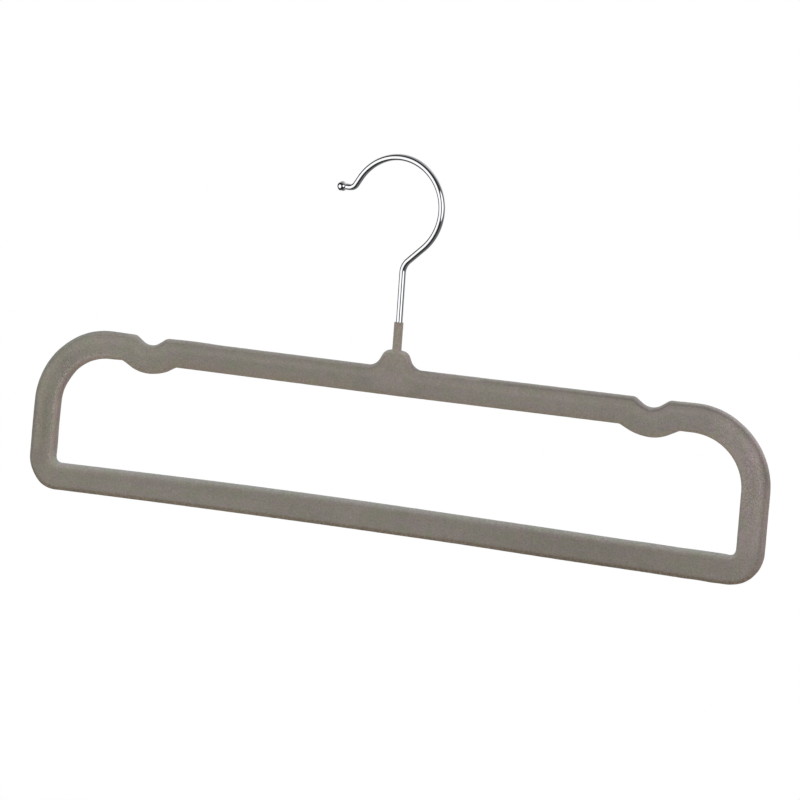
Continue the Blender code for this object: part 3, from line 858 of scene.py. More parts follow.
def add_node(tree, kind, inputs=None, **settings):
    """Add a node, set its options, and set or link its inputs."""
    made = tree.nodes.new(kind)
    for name, value in settings.items():
        setattr(made, name, value)
    set_inputs(tree, made, inputs or {})
    return made


def maths(tree, operation, *values):
    """A Math node; its result."""
    return add_node(tree, "ShaderNodeMath", dict(enumerate(values)), operation=operation).outputs[0]


def vector_maths(tree, operation, *values):
    """A Vector Math node; its result, which is a number for a length and otherwise a vector."""
    made = add_node(tree, "ShaderNodeVectorMath", dict(enumerate(values)), operation=operation)
    return made.outputs["Value" if operation == "LENGTH" else "Vector"]


def axes_of(tree, vector):
    """The X, Y and Z of a vector."""
    return add_node(tree, "ShaderNodeSeparateXYZ", {0: vector}).outputs


def combined(tree, *values):
    """A vector from its X, Y and Z."""
    return add_node(tree, "ShaderNodeCombineXYZ", dict(enumerate(values))).outputs["Vector"]


def measured(tree, attribute, output="Fac"):
    """What was measured on the points of a piece."""
    return add_node(tree, "ShaderNodeAttribute", attribute_name=attribute).outputs[output]


def map_range(tree, value, low, high, low_to, high_to, kind="SMOOTHSTEP"):
    """A Map Range node that is clamped at both ends; its result."""
    inputs = {"Value": value, "From Min": low, "From Max": high, "To Min": low_to, "To Max": high_to}
    made = add_node(tree, "ShaderNodeMapRange", inputs, interpolation_type=kind, clamp=True)
    return made.outputs["Result"]


def mix_colours(tree, factor, one, other):
    """A Mix node for colours; its result."""
    made = add_node(tree, "ShaderNodeMix", {"Factor": factor}, data_type="RGBA")
    slots = [i for i, socket in enumerate(made.inputs) if socket.type == "RGBA"]
    set_inputs(tree, made, dict(zip(slots, (one, other))))
    return next(socket for socket in made.outputs if socket.type == "RGBA")


def noise(tree, vector, size, detail, roughness):
    """Noise of a given size; its level, which swings round one half."""
    inputs = {"Vector": vector, "Detail": detail, "Roughness": roughness}
    inputs["Scale"] = maths(tree, "DIVIDE", 1.0, size)
    return add_node(tree, "ShaderNodeTexNoise", inputs).outputs["Fac"]


def swing(tree, mask):
    """How far a mask is over its middle, or under it."""
    return maths(tree, "SUBTRACT", mask, MASK_MIDDLE)


def build_patches(tree, given):
    """Soft patches of a given size, as a mask from 0 to 1."""
    level = noise(tree, given["Vector"], given["Size"], given["Detail"], PATCH_ROUGHNESS)
    low = maths(tree, "SUBTRACT", MASK_MIDDLE, given["Half Range"])
    high = maths(tree, "ADD", MASK_MIDDLE, given["Half Range"])
    return map_range(tree, level, low, high, 0.0, 1.0)


def build_spot(tree, given):
    """One soft oval spot round a place, as a mask from 0 to 1."""
    away = vector_maths(tree, "SUBTRACT", given["Vector"], given["Centre"])
    gone = vector_maths(tree, "LENGTH", vector_maths(tree, "DIVIDE", away, given["Reach"]))
    return map_range(tree, gone, SPOT_CORE, 1.0, 1.0, 0.0)


def build_tone(tree, given):
    """A colour made lighter where a mask is over its middle, and darker where under."""
    factor = maths(tree, "MULTIPLY_ADD", swing(tree, given["Mask"]), given["Depth"], 1.0)
    return vector_maths(tree, "MULTIPLY", given["Colour"], factor)


def build_gain(tree, given):
    """A colour whose red, green and blue each get a gain where a mask is one."""
    here = vector_maths(tree, "MULTIPLY", given["Gain"], given["Mask"])
    factor = vector_maths(tree, "ADD", here, (1.0, 1.0, 1.0))
    return vector_maths(tree, "MULTIPLY", given["Colour"], factor)


def build_streaks(tree, given):
    """Fine lines that run along Z, as a mask from 0 to 1."""
    squeeze = combined(tree, 1.0, 1.0, maths(tree, "DIVIDE", 1.0, given["Stretch"]))
    drawn = vector_maths(tree, "MULTIPLY", given["Vector"], squeeze)
    return noise(tree, drawn, given["Size"], PLAIN, STREAK_ROUGHNESS)


def build_line(tree, given):
    """A soft line at a given distance from an edge, as a mask from 0 to 1."""
    off = maths(tree, "ABSOLUTE", maths(tree, "SUBTRACT", given["Distance"], given["Place"]))
    return map_range(tree, off, 0.0, given["Half Width"], 1.0, 0.0)


def build_stretch(tree, given):
    """A mask kept between two places across and two levels, with soft ends."""
    kept = given["Mask"]
    for value, low, high in (("Across", "Left", "Right"), ("Level", "Bottom", "Top")):
        inside = maths(tree, "ADD", given[low], given["Fade"])
        rise = map_range(tree, given[value], given[low], inside, 0.0, 1.0)
        inside = maths(tree, "SUBTRACT", given[high], given["Fade"])
        fall = map_range(tree, given[value], inside, given[high], 1.0, 0.0)
        kept = maths(tree, "MULTIPLY", maths(tree, "MULTIPLY", kept, rise), fall)
    return kept


GROUPS = {
    "Patches": build_patches,
    "Spot": build_spot,
    "Tone": build_tone,
    "Gain": build_gain,
    "Streaks": build_streaks,
    "Edge Line": build_line,
    "Stretch": build_stretch,
}
SOCKET_KINDS = {
    "Vector": "NodeSocketVector",
    "Centre": "NodeSocketVector",
    "Reach": "NodeSocketVector",
    "Gain": "NodeSocketVector",
    "Colour": "NodeSocketColor",
}


def new_group(name, labels):
    """The node group of a shared effect, with a socket for each label and one for its result."""
    group = bpy.data.node_groups.new(name, "ShaderNodeTree")
    result = "Colour" if "Colour" in labels else "Mask"
    sockets = [(label, "INPUT") for label in labels] + [(result, "OUTPUT")]
    for label, in_out in sockets:
        kind = SOCKET_KINDS.get(label, "NodeSocketFloat")
        group.interface.new_socket(label, in_out=in_out, socket_type=kind)
    given = group.nodes.new("NodeGroupInput").outputs
    end = group.nodes.new("NodeGroupOutput").inputs
    group.links.new(GROUPS[name](group, given), end[result])


def group_node(tree, name, inputs):
    """Place a shared effect, whose node group is built at its first use; its result."""
    if name not in bpy.data.node_groups:
        new_group(name, list(inputs))
    group = bpy.data.node_groups[name]
    return add_node(tree, "ShaderNodeGroup", inputs, node_tree=group).outputs[0]


def patches(tree, vector, size, detail=PLAIN, half_range=PATCH_RANGE):
    """Soft patches; their mask."""
    inputs = {"Vector": vector, "Size": size, "Detail": detail, "Half Range": half_range}
    return group_node(tree, "Patches", inputs)


def streaks(tree, vector, size, stretch):
    """Fine lines along Z; their mask."""
    return group_node(tree, "Streaks", {"Vector": vector, "Size": size, "Stretch": stretch})


def tone(tree, value, mask, depth):
    """A colour with its brightness swung by a mask; the new colour."""
    return group_node(tree, "Tone", {"Colour": value, "Mask": mask, "Depth": depth})


def gain(tree, value, mask, gains):
    """A colour with a gain where a mask is one, for all of it or each for red, green and blue."""
    gains = gains if isinstance(gains, tuple) else (gains,) * 3
    return group_node(tree, "Gain", {"Colour": value, "Mask": mask, "Gain": gains})


def emptied(owner, kind="ShaderNodeOutputMaterial"):
    """Empty the node tree of a material or world; the tree and the surface of its new output."""
    owner.use_nodes = True
    tree = owner.node_tree
    tree.nodes.clear()
    return tree, tree.nodes.new(kind).inputs["Surface"]


def new_material(name):
    """A material with nothing but a Principled shader and an output."""
    material = bpy.data.materials.new(name)
    tree, surface = emptied(material)
    shader = tree.nodes.new("ShaderNodeBsdfPrincipled")
    tree.links.new(shader.outputs["BSDF"], surface)
    return material, tree, shader


def coat(tree, shader, value, mask, roughness, normal):
    """Give a shader its colour, a roughness that a mask moves between two levels, and a normal."""
    rough = map_range(tree, mask, 0.0, 1.0, *roughness)
    set_inputs(tree, shader, {"Base Color": value, "Roughness": rough, "Normal": normal})


def rgba(value):
    """A stored colour with full opacity."""
    return (*value, 1.0)


def object_place(tree):
    """The place on the piece, in metres, as a vector."""
    return tree.nodes.new("ShaderNodeTexCoord").outputs["Object"]


def unrolled_place(tree):
    """The place on the wire as if it were straight, with its length along Z."""
    return measured(tree, WIRE_ATTRIBUTE, "Vector")


def shifted(tree, vector, shift):
    """The same place moved, so that a second pattern differs from the first."""
    return vector_maths(tree, "ADD", vector, shift)


def bump(tree, height, distance, strength=1.0):
    """A Bump node's normal from a height between 0 and 1."""
    inputs = {"Height": height, "Distance": distance, "Strength": strength}
    return add_node(tree, "ShaderNodeBump", inputs).outputs["Normal"]


def flock_colour(tree, place, finish):
    """Colour of the flock: taupe with greenish and pinkish patches, grain, fibres and lint."""
    green, taupe = rgba(finish.flock_green), rgba(finish.flock)
    value = mix_colours(tree, patches(tree, place, HUE_PATCH), green, taupe)
    pink = patches(tree, shifted(tree, place, PINK_SHIFT), PINK_PATCH)
    pink = maths(tree, "MULTIPLY", pink, PINK_SHARE)
    value = mix_colours(tree, pink, value, rgba(finish.flock_pink))
    for size, detail, depth in FLOCK_GRAINS:
        value = tone(tree, value, patches(tree, place, size, detail), depth)
    value = tone(tree, value, streaks(tree, place, FIBRE_WIDTH, FIBRE_STRETCH), FIBRE_DEPTH)
    specks = add_node(tree, "ShaderNodeTexVoronoi", {"Vector": place, "Scale": 1.0 / LINT_SPACING})
    off = specks.outputs["Distance"]
    small = map_range(tree, off, LINT_SHARE, LINT_SHARE * LINT_SOFT_EDGE, 1.0, 0.0)
    chosen = add_node(tree, "ShaderNodeSeparateColor", {0: specks.outputs["Color"]}).outputs[0]
    rare = map_range(tree, chosen, LINT_RARITY, LINT_RARITY + LINT_SOFT_START, 0.0, LINT_STRENGTH)
    return mix_colours(tree, maths(tree, "MULTIPLY", small, rare), value, rgba(finish.lint))


def finish_flock(tree, shader, place, finish):
    """The flock's normal, from tufts and single fibre tips, and the soft sheen it has all over."""
    tufts = patches(tree, place, TUFT, FINE, RELIEF_RANGE)
    tips = maths(tree, "MULTIPLY", patches(tree, place, FIBRE_TIP, PLAIN, RELIEF_RANGE), TIP_SHARE)
    inputs = {
        "Normal": bump(tree, maths(tree, "ADD", tufts, tips), FLOCK_RELIEF, FLOCK_BUMP),
        "Sheen Weight": finish.sheen,
        "Sheen Roughness": SHEEN_ROUGHNESS,
        "Specular IOR Level": FLOCK_SPECULAR,
    }
    set_inputs(tree, shader, inputs)


def edge_band(tree, edge, at, half_width):
    """A soft band along one edge of the loop, at a distance from it; its mask."""
    inputs = {"Distance": measured(tree, edge), "Place": at, "Half Width": half_width}
    return group_node(tree, "Edge Line", inputs)


def soft_spot(tree, place, origin, x, z, reach_x, reach_z):
    """A soft oval that goes through the loop from front to rear; its mask."""
    centre = origin + in_front_plane(x, z) * MM
    inputs = {"Vector": place, "Centre": centre, "Reach": (reach_x * MM, SPOT_THROUGH, reach_z * MM)}
    return group_node(tree, "Spot", inputs)


def along_bars(tree, place, middle, half_width):
    """Streaks that run along the bars: level in the long bars, upright in the ends; their mask."""
    axes = axes_of(tree, place)
    lying = combined(tree, axes["Z"], axes["Y"], axes["X"])
    level = streaks(tree, lying, HUE_STREAK, HUE_STRETCH)
    upright = streaks(tree, place, HUE_STREAK, HUE_STRETCH)
    beside = maths(tree, "ABSOLUTE", maths(tree, "SUBTRACT", axes["X"], middle))
    side = half_width - SIDE_WIDTH
    at_end = map_range(tree, beside, side - SIDE_FADE, side, 0.0, 1.0)
    both = maths(tree, "MULTIPLY_ADD", at_end, maths(tree, "SUBTRACT", upright, level), level)
    return map_range(tree, both, STREAK_LOW, STREAK_HIGH, 0.0, 1.0)


def band_stretch(tree, axes, origin, edge, at, half_width, stretch_x, stretch_z):
    """A band along an edge, kept between two places across and two levels; its mask."""
    inputs = {"Mask": edge_band(tree, edge, at * MM, half_width * MM), "Fade": BAND_FADE}
    inputs["Across"], inputs["Level"] = axes["X"], axes["Z"]
    inputs["Left"], inputs["Right"] = (origin.x + x * MM for x in stretch_x)
    inputs["Bottom"], inputs["Top"] = (origin.z + z * MM for z in stretch_z)
    return group_node(tree, "Stretch", inputs)


def nap_and_painted_light(tree, place, origin, value, speckle):
    """The flock's colour with painted light and shade where its nap leans, and painted glints where its
    tips catch the light.
    """
    # Painted light and shade, partly the nap's lean
    for *spot, gains in NAP_AND_PAINTED_LIGHT:
        value = gain(tree, value, soft_spot(tree, place, origin, *spot), gains)
    for *spot, strength in SPECKLED:
        mask = maths(tree, "MULTIPLY", speckle, soft_spot(tree, place, origin, *spot))
        value = gain(tree, value, mask, strength)
    return value


def shaded_edges(tree, place, origin, value, speckle, shade):
    """The flock's colour with painted light and shade along its edges, painted shade on its underside,
    glints, and the painted shade of the mould line.
    """
    axes = axes_of(tree, place)
    # Painted light and shade along the rims
    for *band, gains in EDGE_LIGHT_AND_SHADE:
        value = gain(tree, value, band_stretch(tree, axes, origin, *band), gains)
    # Painted shade on the underside, darker and browner, then its mottle and a darker spot on the right
    below, above = origin.z + UNDERSIDE_FROM, origin.z + UNDERSIDE_TO
    under = edge_band(tree, OUTER_ATTRIBUTE, 0.0, UNDERSIDE_WIDTH)
    under = maths(tree, "MULTIPLY", under, map_range(tree, axes["Z"], below, above, 1.0, 0.0))
    value = mix_colours(tree, under, value, shade)
    mottle = swing(tree, patches(tree, place, UNDERSIDE_MOTTLE, COARSE, CRISP_RANGE))
    value = gain(tree, value, maths(tree, "MULTIPLY", mottle, under), UNDERSIDE_MOTTLE_GAIN)
    *spot, gains = UNDERSIDE_RIGHT_SHADE
    value = gain(tree, value, soft_spot(tree, place, origin, *spot), gains)
    for *band, strength in SPECKLED_BANDS:
        mask = maths(tree, "MULTIPLY", speckle, band_stretch(tree, axes, origin, *band))
        value = gain(tree, value, mask, strength)
    # Painted shade: the dark line beside the mould line's ridge, broken where worn
    seam_shade = edge_band(tree, OUTER_ATTRIBUTE, SEAM_PLACE, SEAM_HALF_WIDTH)
    worn = map_range(tree, patches(tree, place, SEAM_BREAK), *SEAM_WEAR)
    return gain(tree, value, maths(tree, "MULTIPLY", seam_shade, worn), SEAM_SHADE_GAIN)


def velvet_material(finish, sizes):
    """The loop's velvet, with painted light and shade on its rims, the painted shade of the mould line
    under the flock, and the lie of the nap.
    """
    material, tree, shader = new_material("taupe_velvet")
    place, origin = object_place(tree), loop_place(sizes)
    elsewhere, middle = shifted(tree, place, HUE_SHIFT), origin.x + HUE_SHIFT[0]
    hue = along_bars(tree, elsewhere, middle, sizes.width / 2)
    tint = mix_colours(tree, hue, COOL_TINT, WARM_TINT)
    value = vector_maths(tree, "MULTIPLY", flock_colour(tree, place, finish), tint)
    speckle = patches(tree, shifted(tree, place, SPECKLE_SHIFT), SPECKLE, COARSE, CRISP_RANGE)
    speckle = swing(tree, speckle)
    value = nap_and_painted_light(tree, place, origin, value, speckle)
    value = shaded_edges(tree, place, origin, value, speckle, rgba(finish.flock_shade))
    rough = map_range(tree, patches(tree, place, TUFT, FINE), 0.0, 1.0, *VELVET_ROUGHNESS, "LINEAR")
    set_inputs(tree, shader, {"Base Color": value, "Roughness": rough})
    finish_flock(tree, shader, place, finish)
    return material


def neck_material(finish, sizes):
    """The neck's flock, which is thinner, lighter than the loop's, and has painted shade in specks near
    the rim.
    """
    material, tree, shader = new_material("neck_velvet")
    place = object_place(tree)
    value = gain(tree, flock_colour(tree, place, finish), 1.0, NECK_GAIN)
    rim = loop_place(sizes).z + hump_top(sizes) + sizes.neck_height + NECK_FRINGE
    near_rim = map_range(tree, axes_of(tree, place)["Z"], rim - RIM_BAND, rim, 0.0, 1.0)
    specks = patches(tree, place, RIM_SPECK, PLAIN, CRISP_RANGE)
    # Painted shade near the rim, in specks
    value = gain(tree, value, maths(tree, "MULTIPLY", near_rim, specks), RIM_SHADE_GAIN)
    rough = map_range(tree, specks, 0.0, 1.0, *NECK_ROUGHNESS)
    set_inputs(tree, shader, {"Base Color": value, "Roughness": rough})
    finish_flock(tree, shader, place, finish)
    return material


def chrome_material(name, finish, place_of):
    """Chrome plating over a drawn wire: bright, with faint lines along it and a slight haze."""
    material, tree, shader = new_material(name)
    place = place_of(tree)
    haze = patches(tree, place, HAZE_PATCH)
    value = tone(tree, rgba(finish.chrome), haze, HAZE_DEPTH)
    lines = bump(tree, streaks(tree, place, DRAWN_LINE, DRAWN_STRETCH), DRAWN_RELIEF, DRAWN_BUMP)
    coat(tree, shader, value, haze, CHROME_ROUGHNESS, lines)
    shader.inputs["Metallic"].default_value = 1.0
    return material


def core_material(finish):
    """Moulded plastic: a fine spark-eroded grain with flow marks."""
    material, tree, shader = new_material("core_plastic")
    place = object_place(tree)
    spark = patches(tree, place, SPARK_GRAIN, FINE)
    value = tone(tree, rgba(finish.core), patches(tree, place, FLOW_MARK), FLOW_DEPTH)
    value = tone(tree, value, spark, SPARK_DEPTH)
    coat(tree, shader, value, spark, CORE_ROUGHNESS, bump(tree, spark, SPARK_RELIEF))
    return material


def steel_material(finish):
    """Turned steel: fine rings round the swivel's axis."""
    material, tree, shader = new_material("turned_steel")
    place = object_place(tree)
    axes = axes_of(tree, vector_maths(tree, "SUBTRACT", place, tuple(SWIVEL)))
    radius = vector_maths(tree, "LENGTH", combined(tree, axes["X"], axes["Y"], 0.0))
    rings = patches(tree, combined(tree, radius, axes["Z"], 0.0), TURNING_MARK, COARSE)
    value = tone(tree, rgba(finish.steel), rings, RING_DEPTH)
    value = tone(tree, value, patches(tree, place, HAZE_PATCH), STAIN_DEPTH)
    coat(tree, shader, value, rings, STEEL_ROUGHNESS, bump(tree, rings, FINE_RELIEF))
    shader.inputs["Metallic"].default_value = 1.0
    return material


def nylon_material(finish):
    """Natural nylon: milky, a little translucent to the eye, with a faint grain."""
    material, tree, shader = new_material("natural_nylon")
    place = object_place(tree)
    grain = patches(tree, place, SPARK_GRAIN, FINE)
    value = tone(tree, rgba(finish.nylon), patches(tree, place, NYLON_CLOUD), CLOUD_DEPTH)
    coat(tree, shader, value, grain, NYLON_ROUGHNESS, bump(tree, grain, FINE_RELIEF))
    set_inputs(tree, shader, {"Subsurface Weight": NYLON_GLOW, "Subsurface Scale": NYLON_GLOW_REACH})
    return material


class HANGER_OT_velvet_loop(Operator):
    """Model the velvet skin of the loop, with its notches, bulges and hump"""

    bl_idname = "hanger.velvet_loop"
    bl_label = "Velvet loop"

    def execute(self, context):
        sizes, hook = context.scene.hanger_loop, context.scene.hanger_hook
        lining = loop_wall("lining", sizes, sizes.flock, INNER_STEP, INNER_ROUND_STEPS, INNER_CUTS)
        finish_mesh(lining)
        edit("FACE")
        bpy.ops.mesh.flip_normals()
        skin = loop_wall("velvet_loop", sizes, 0.0, OUTER_STEP, OUTER_ROUND_STEPS, OUTER_CUTS)
        mark_distances(skin, OUTER_ATTRIBUTE, outer_corners(sizes))
        mark_distances(skin, GAP_ATTRIBUTE, gap_corners(sizes))
        bow_bars(skin, sizes)
        finish_mesh(skin)
        lay_flock(skin, RUFFLE_SIZE, RUFFLE_HEIGHT)
        bow_bars(lining, sizes)
        join([skin, lining])
        cut_mouth(skin, sizes, hook)
        settle(skin, loop_place(sizes))
        finish = velvet_material(context.scene.hanger_finish, sizes)
        dress(skin, "loop", "velvet_cover", finish)
        return {"FINISHED"}


class HANGER_OT_flocked_neck(Operator):
    """Model the thin flocked tube that stands on the hump round the hook's shank"""

    bl_idname = "hanger.flocked_neck"
    bl_label = "Flocked neck"

    def execute(self, context):
        sizes, hook = context.scene.hanger_loop, context.scene.hanger_hook
        outside = neck_radius(sizes, hook)
        bore = hook.wire / 2 + CLEARANCE
        hump = hump_top(sizes)
        top = hump + sizes.neck_height + NECK_FRINGE
        foot = hump - NECK_SEAT_DEPTH + CLEARANCE
        lip = sizes.neck_wall / 2
        profile = [
            (bore, foot),
            (bore, top - lip),
            (bore + lip * LIP_ROUND, top - lip * LIP_ROUND),
            (bore + lip, top),
            (outside - lip * LIP_ROUND, top - lip * LIP_ROUND),
            (outside, top - lip),
            (outside, top - NECK_LIP_DROP),
            *((outside + FLARE_WIDTH * out, hump + FLARE_HEIGHT * up) for out, up in FLARE_STEPS),
            (outside, foot),
        ]
        neck = start_point("flocked_neck", in_front_plane(*profile[0]))
        pen = profile[0]
        for spot in profile[1:]:
            run = max(1, round(math.dist(pen, spot) / NECK_STEP))
            step = in_front_plane((spot[0] - pen[0]) / run, (spot[1] - pen[1]) / run)
            bpy.ops.mesh.extrude_repeat(steps=run, offset=step)
            pen = spot
        edit("VERT")
        bpy.ops.mesh.spin(steps=NECK_SIDES, angle=math.tau, center=(0.0, 0.0, 0.0), axis=UPWARDS)
        edit("VERT")
        bpy.ops.mesh.remove_doubles(threshold=DOUBLES)
        close_rims()
        finish_mesh(neck)
        lay_neck_flock(neck, bore, hump, sizes.neck_height)
        settle(neck, loop_place(sizes))
        finish = neck_material(context.scene.hanger_finish, sizes)
        dress(neck, "loop", "neck_sleeve", finish)
        return {"FINISHED"}


def close_rims():
    """In edit mode, join the two open rims of a turned tube at its foot."""
    bpy.ops.mesh.select_all(action="DESELECT")
    bpy.ops.mesh.select_non_manifold()
    bpy.ops.mesh.bridge_edge_loops()


def lay_neck_flock(neck, bore, hump, height):
    """Let the neck's flock lean and lie unevenly outside, and leave its bore true."""
    outside = neck.vertex_groups.new(name="outside")
    for vertex in neck.data.vertices:
        if math.hypot(vertex.co.x, vertex.co.y) > bore + BORE_MARGIN:
            outside.add([vertex.index], 1.0, "REPLACE")
            vertex.co.x -= NECK_FLOCK_LEAN * min(max((vertex.co.z - hump) / height, 0.0), 1.0)
    lay_flock(neck, NECK_RUFFLE_SIZE, NECK_RUFFLE_HEIGHT, outside.name)
    neck.vertex_groups.clear()


def bend(before, corner, after, radius):
    """Start, end, centre and turn of the wire's bend at a corner between two straight runs."""
    into = (corner - before).normalized()
    out = (after - corner).normalized()
    turn = math.atan2(into.x * out.y - into.y * out.x, into.dot(out))
    tangent = min(radius * math.tan(abs(turn) / 2), (corner - before).length, (after - corner).length)
    start = corner - into * tangent
    side = Vector((-into.y, into.x)) * math.copysign(tangent / math.tan(abs(turn) / 2), turn)
    return start, corner + out * tangent, start + side, turn


def hook_bends(sizes, hook):
    """The wire's bends from the neck to the tip, then the ball's centre and the tip's direction."""
    neck = Vector((0.0, hump_top(sizes) + sizes.neck_height))
    foot = neck - Vector((0.0, sizes.neck_height))
    shank_top = neck + Vector((SHANK_TOP_ACROSS, SHANK_TOP_ABOVE_NECK))
    centre = Vector((HOOK_CENTRE_ACROSS, shank_top.y + HOOK_CENTRE_ABOVE_SHANK))
    to_centre = centre - shank_top
    slope = math.atan2(to_centre.y, to_centre.x) - math.asin(hook.radius / to_centre.length)
    reach = math.sqrt(to_centre.length_squared - hook.radius**2)
    arc_start = shank_top + Vector((math.cos(slope), math.sin(slope))) * reach
    first = math.atan2(arc_start.y - centre.y, arc_start.x - centre.x)
    arc_end = centre + Vector((math.cos(HOOK_ARC_END), math.sin(HOOK_ARC_END))) * hook.radius
    leaving = Vector((-math.sin(HOOK_ARC_END), math.cos(HOOK_ARC_END)))
    tip_corner = arc_end + leaving * TIP_LEAD_LENGTH
    tip = Vector((math.cos(TIP_DIRECTION), math.sin(TIP_DIRECTION)))
    ball = tip_corner + tip * TIP_LENGTH
    bends = [
        bend(foot, neck, shank_top, NECK_BEND_RADIUS),
        bend(neck, shank_top, arc_start, SHANK_BEND_RADIUS),
        (arc_start, arc_end, centre, HOOK_ARC_END - first),
        bend(arc_end, tip_corner, ball, TIP_BEND_RADIUS),
    ]
    return bends, ball, tip


def ball_flat(hook):
    """Distance from the ball's centre to the flat that faces the wire."""
    return math.sqrt((hook.ball / 2) ** 2 - (hook.wire / 2) ** 2)


def grow(centre, target, scale=1.0, step=None):
    """In edit mode, extrude the selected ring to the next centre and scale it; that centre."""
    run = max(1, round((target - centre).length / step)) if step else 1
    part = (target - centre) / run
    offset = {"value": in_front_plane(*part)}
    for _ in range(run):
        bpy.ops.mesh.extrude_region_move(TRANSFORM_OT_translate=offset)
    if scale != 1.0:
        middle = in_front_plane(*target)
        bpy.ops.transform.resize(value=(scale, scale, scale), center_override=middle)
    return target


def straight_middle(before, after):
    """Points along the middle of a straight run after its start, close together."""
    count = max(1, round((after - before).length / MIDDLE_SAMPLE))
    return [before.lerp(after, k / count) for k in range(1, count + 1)]


def wire_middle(foot, bends, end):
    """Points along the middle of the whole wire, close together."""
    points = [foot]
    for start, _, centre, turn in bends:
        points += straight_middle(points[-1], start)
        arm = start - centre
        count = max(1, round(arm.length * abs(turn) / MIDDLE_SAMPLE))
        points += [centre + Matrix.Rotation(turn * k / count, 2) @ arm for k in range(1, count + 1)]
    return points + straight_middle(points[-1], end)


def unroll(wire, middle):
    """Give each point of the wire its place as if the wire were straight along Z."""
    tree = kdtree.KDTree(len(middle))
    gone = [0.0]
    for i, point in enumerate(middle):
        tree.insert(in_front_plane(*point), i)
        if i:
            gone.append(gone[-1] + (point - middle[i - 1]).length)
    tree.balance()
    places = wire.data.attributes.new(WIRE_ATTRIBUTE, "FLOAT_VECTOR", "POINT")
    for vertex in wire.data.vertices:
        spot, i, _ = tree.find(vertex.co)
        ahead = (middle[min(i + 1, len(middle) - 1)] - middle[max(i - 1, 0)]).normalized()
        away = vertex.co - spot
        sideways = away.x * ahead.y - away.z * ahead.x
        places.data[vertex.index].vector = (sideways, away.y, gone[i])


class HANGER_OT_hook_wire(Operator):
    """Model the bent wire of the hook, with its pin below and its stud in the ball"""

    bl_idname = "hanger.hook_wire"
    bl_label = "Hook wire"

    def execute(self, context):
        sizes, hook = context.scene.hanger_loop, context.scene.hanger_hook
        shank_foot = hump_top(sizes) - NECK_SEAT_DEPTH + CLEARANCE
        collar_top = shank_foot - PIN_LENGTH - CLEARANCE
        pen = Vector((0.0, collar_top - COLLAR_HEIGHT))
        deselect_all()
        bpy.ops.mesh.primitive_circle_add(
            vertices=WIRE_SIDES,
            radius=PIN_TAIL_DIAMETER / 2,
            fill_type="NGON",
            location=in_front_plane(*pen),
        )
        wire = context.object
        wire.name = wire.data.name = "hook_wire_bent"
        bpy.ops.object.transform_apply(location=True)
        foot = pen.copy()
        edit("FACE")
        up = Vector((0.0, 1.0))
        pen = grow(pen, Vector((0.0, collar_top + CLEARANCE / 2)))
        pen = grow(pen, pen + up * WIRE_CHAMFER, PIN_DIAMETER / PIN_TAIL_DIAMETER)
        pen = grow(pen, Vector((0.0, shank_foot)), step=WIRE_STEP)
        pen = grow(pen, pen + up * WIRE_CHAMFER, hook.wire / PIN_DIAMETER)
        bends, ball, tip = hook_bends(sizes, hook)
        for start, end, centre, turn in bends:
            pen = grow(pen, start, step=WIRE_STEP)
            bpy.ops.mesh.spin(
                steps=max(1, math.ceil(abs(turn) / WIRE_ARC_STEP)),
                angle=turn,
                center=in_front_plane(*centre),
                axis=THROUGH,
            )
            pen = end
        root = ball - tip * (ball_flat(hook) + CLEARANCE)
        pen = grow(pen, root - tip * WIRE_CHAMFER, step=WIRE_STEP)
        pen = grow(pen, root, BALL_STUD_DIAMETER / hook.wire)
        pen = grow(pen, root + tip * BALL_STUD_LENGTH)
        finish_mesh(wire)
        unroll(wire, wire_middle(foot, bends, pen))
        settle(wire, loop_place(sizes), hook.turn)
        finish = chrome_material("chromed_wire", context.scene.hanger_finish, unrolled_place)
        dress(wire, "hook", "hook_wire", finish)
        return {"FINISHED"}


class HANGER_OT_hook_ball(Operator):
    """Model the small ball that is pressed on the hook's tip"""

    bl_idname = "hanger.hook_ball"
    bl_label = "Hook ball"

    def execute(self, context):
        sizes, hook = context.scene.hanger_loop, context.scene.hanger_hook
        _, centre, tip = hook_bends(sizes, hook)
        flat = ball_flat(hook)
        deselect_all()
        bpy.ops.mesh.primitive_uv_sphere_add(
            segments=BALL_SIDES, ring_count=BALL_SIDES // 2, radius=hook.ball / 2
        )
        ball = context.object
        ball.name = ball.data.name = "hook_ball"
        edit("FACE")
        bpy.ops.mesh.bisect(
            plane_co=(0.0, 0.0, flat), plane_no=UPWARDS, use_fill=True, clear_outer=True
        )
        select_where(ball, "polygons", lambda face: face.center.z > flat - DOUBLES)
        hole = BALL_STUD_DIAMETER / 2 + CLEARANCE
        bpy.ops.mesh.inset(thickness=hook.wire / 2 - hole)
        bpy.ops.mesh.extrude_region_move(
            TRANSFORM_OT_translate={"value": (0.0, 0.0, -BALL_STUD_LENGTH)}
        )
        bpy.ops.mesh.select_all(action="DESELECT")
        bpy.ops.mesh.edges_select_sharp(sharpness=BALL_RIM_ANGLE)
        bpy.ops.mesh.bevel(offset=BALL_LIP, segments=BALL_LIP_STEPS, affect="EDGES")
        finish_mesh(ball)
        ball.rotation_mode = "QUATERNION"
        ball.rotation_quaternion = Vector((-tip.x, 0.0, -tip.y)).to_track_quat("Z", "Y")
        ball.location = in_front_plane(*centre)
        bpy.ops.object.transform_apply(location=True, rotation=True)
        ball.rotation_mode = "XYZ"
        settle(ball, loop_place(sizes), hook.turn)
        finish = chrome_material("chromed_ball", context.scene.hanger_finish, object_place)
        dress(ball, "hook", "hook_ball_tip", finish)
        return {"FINISHED"}


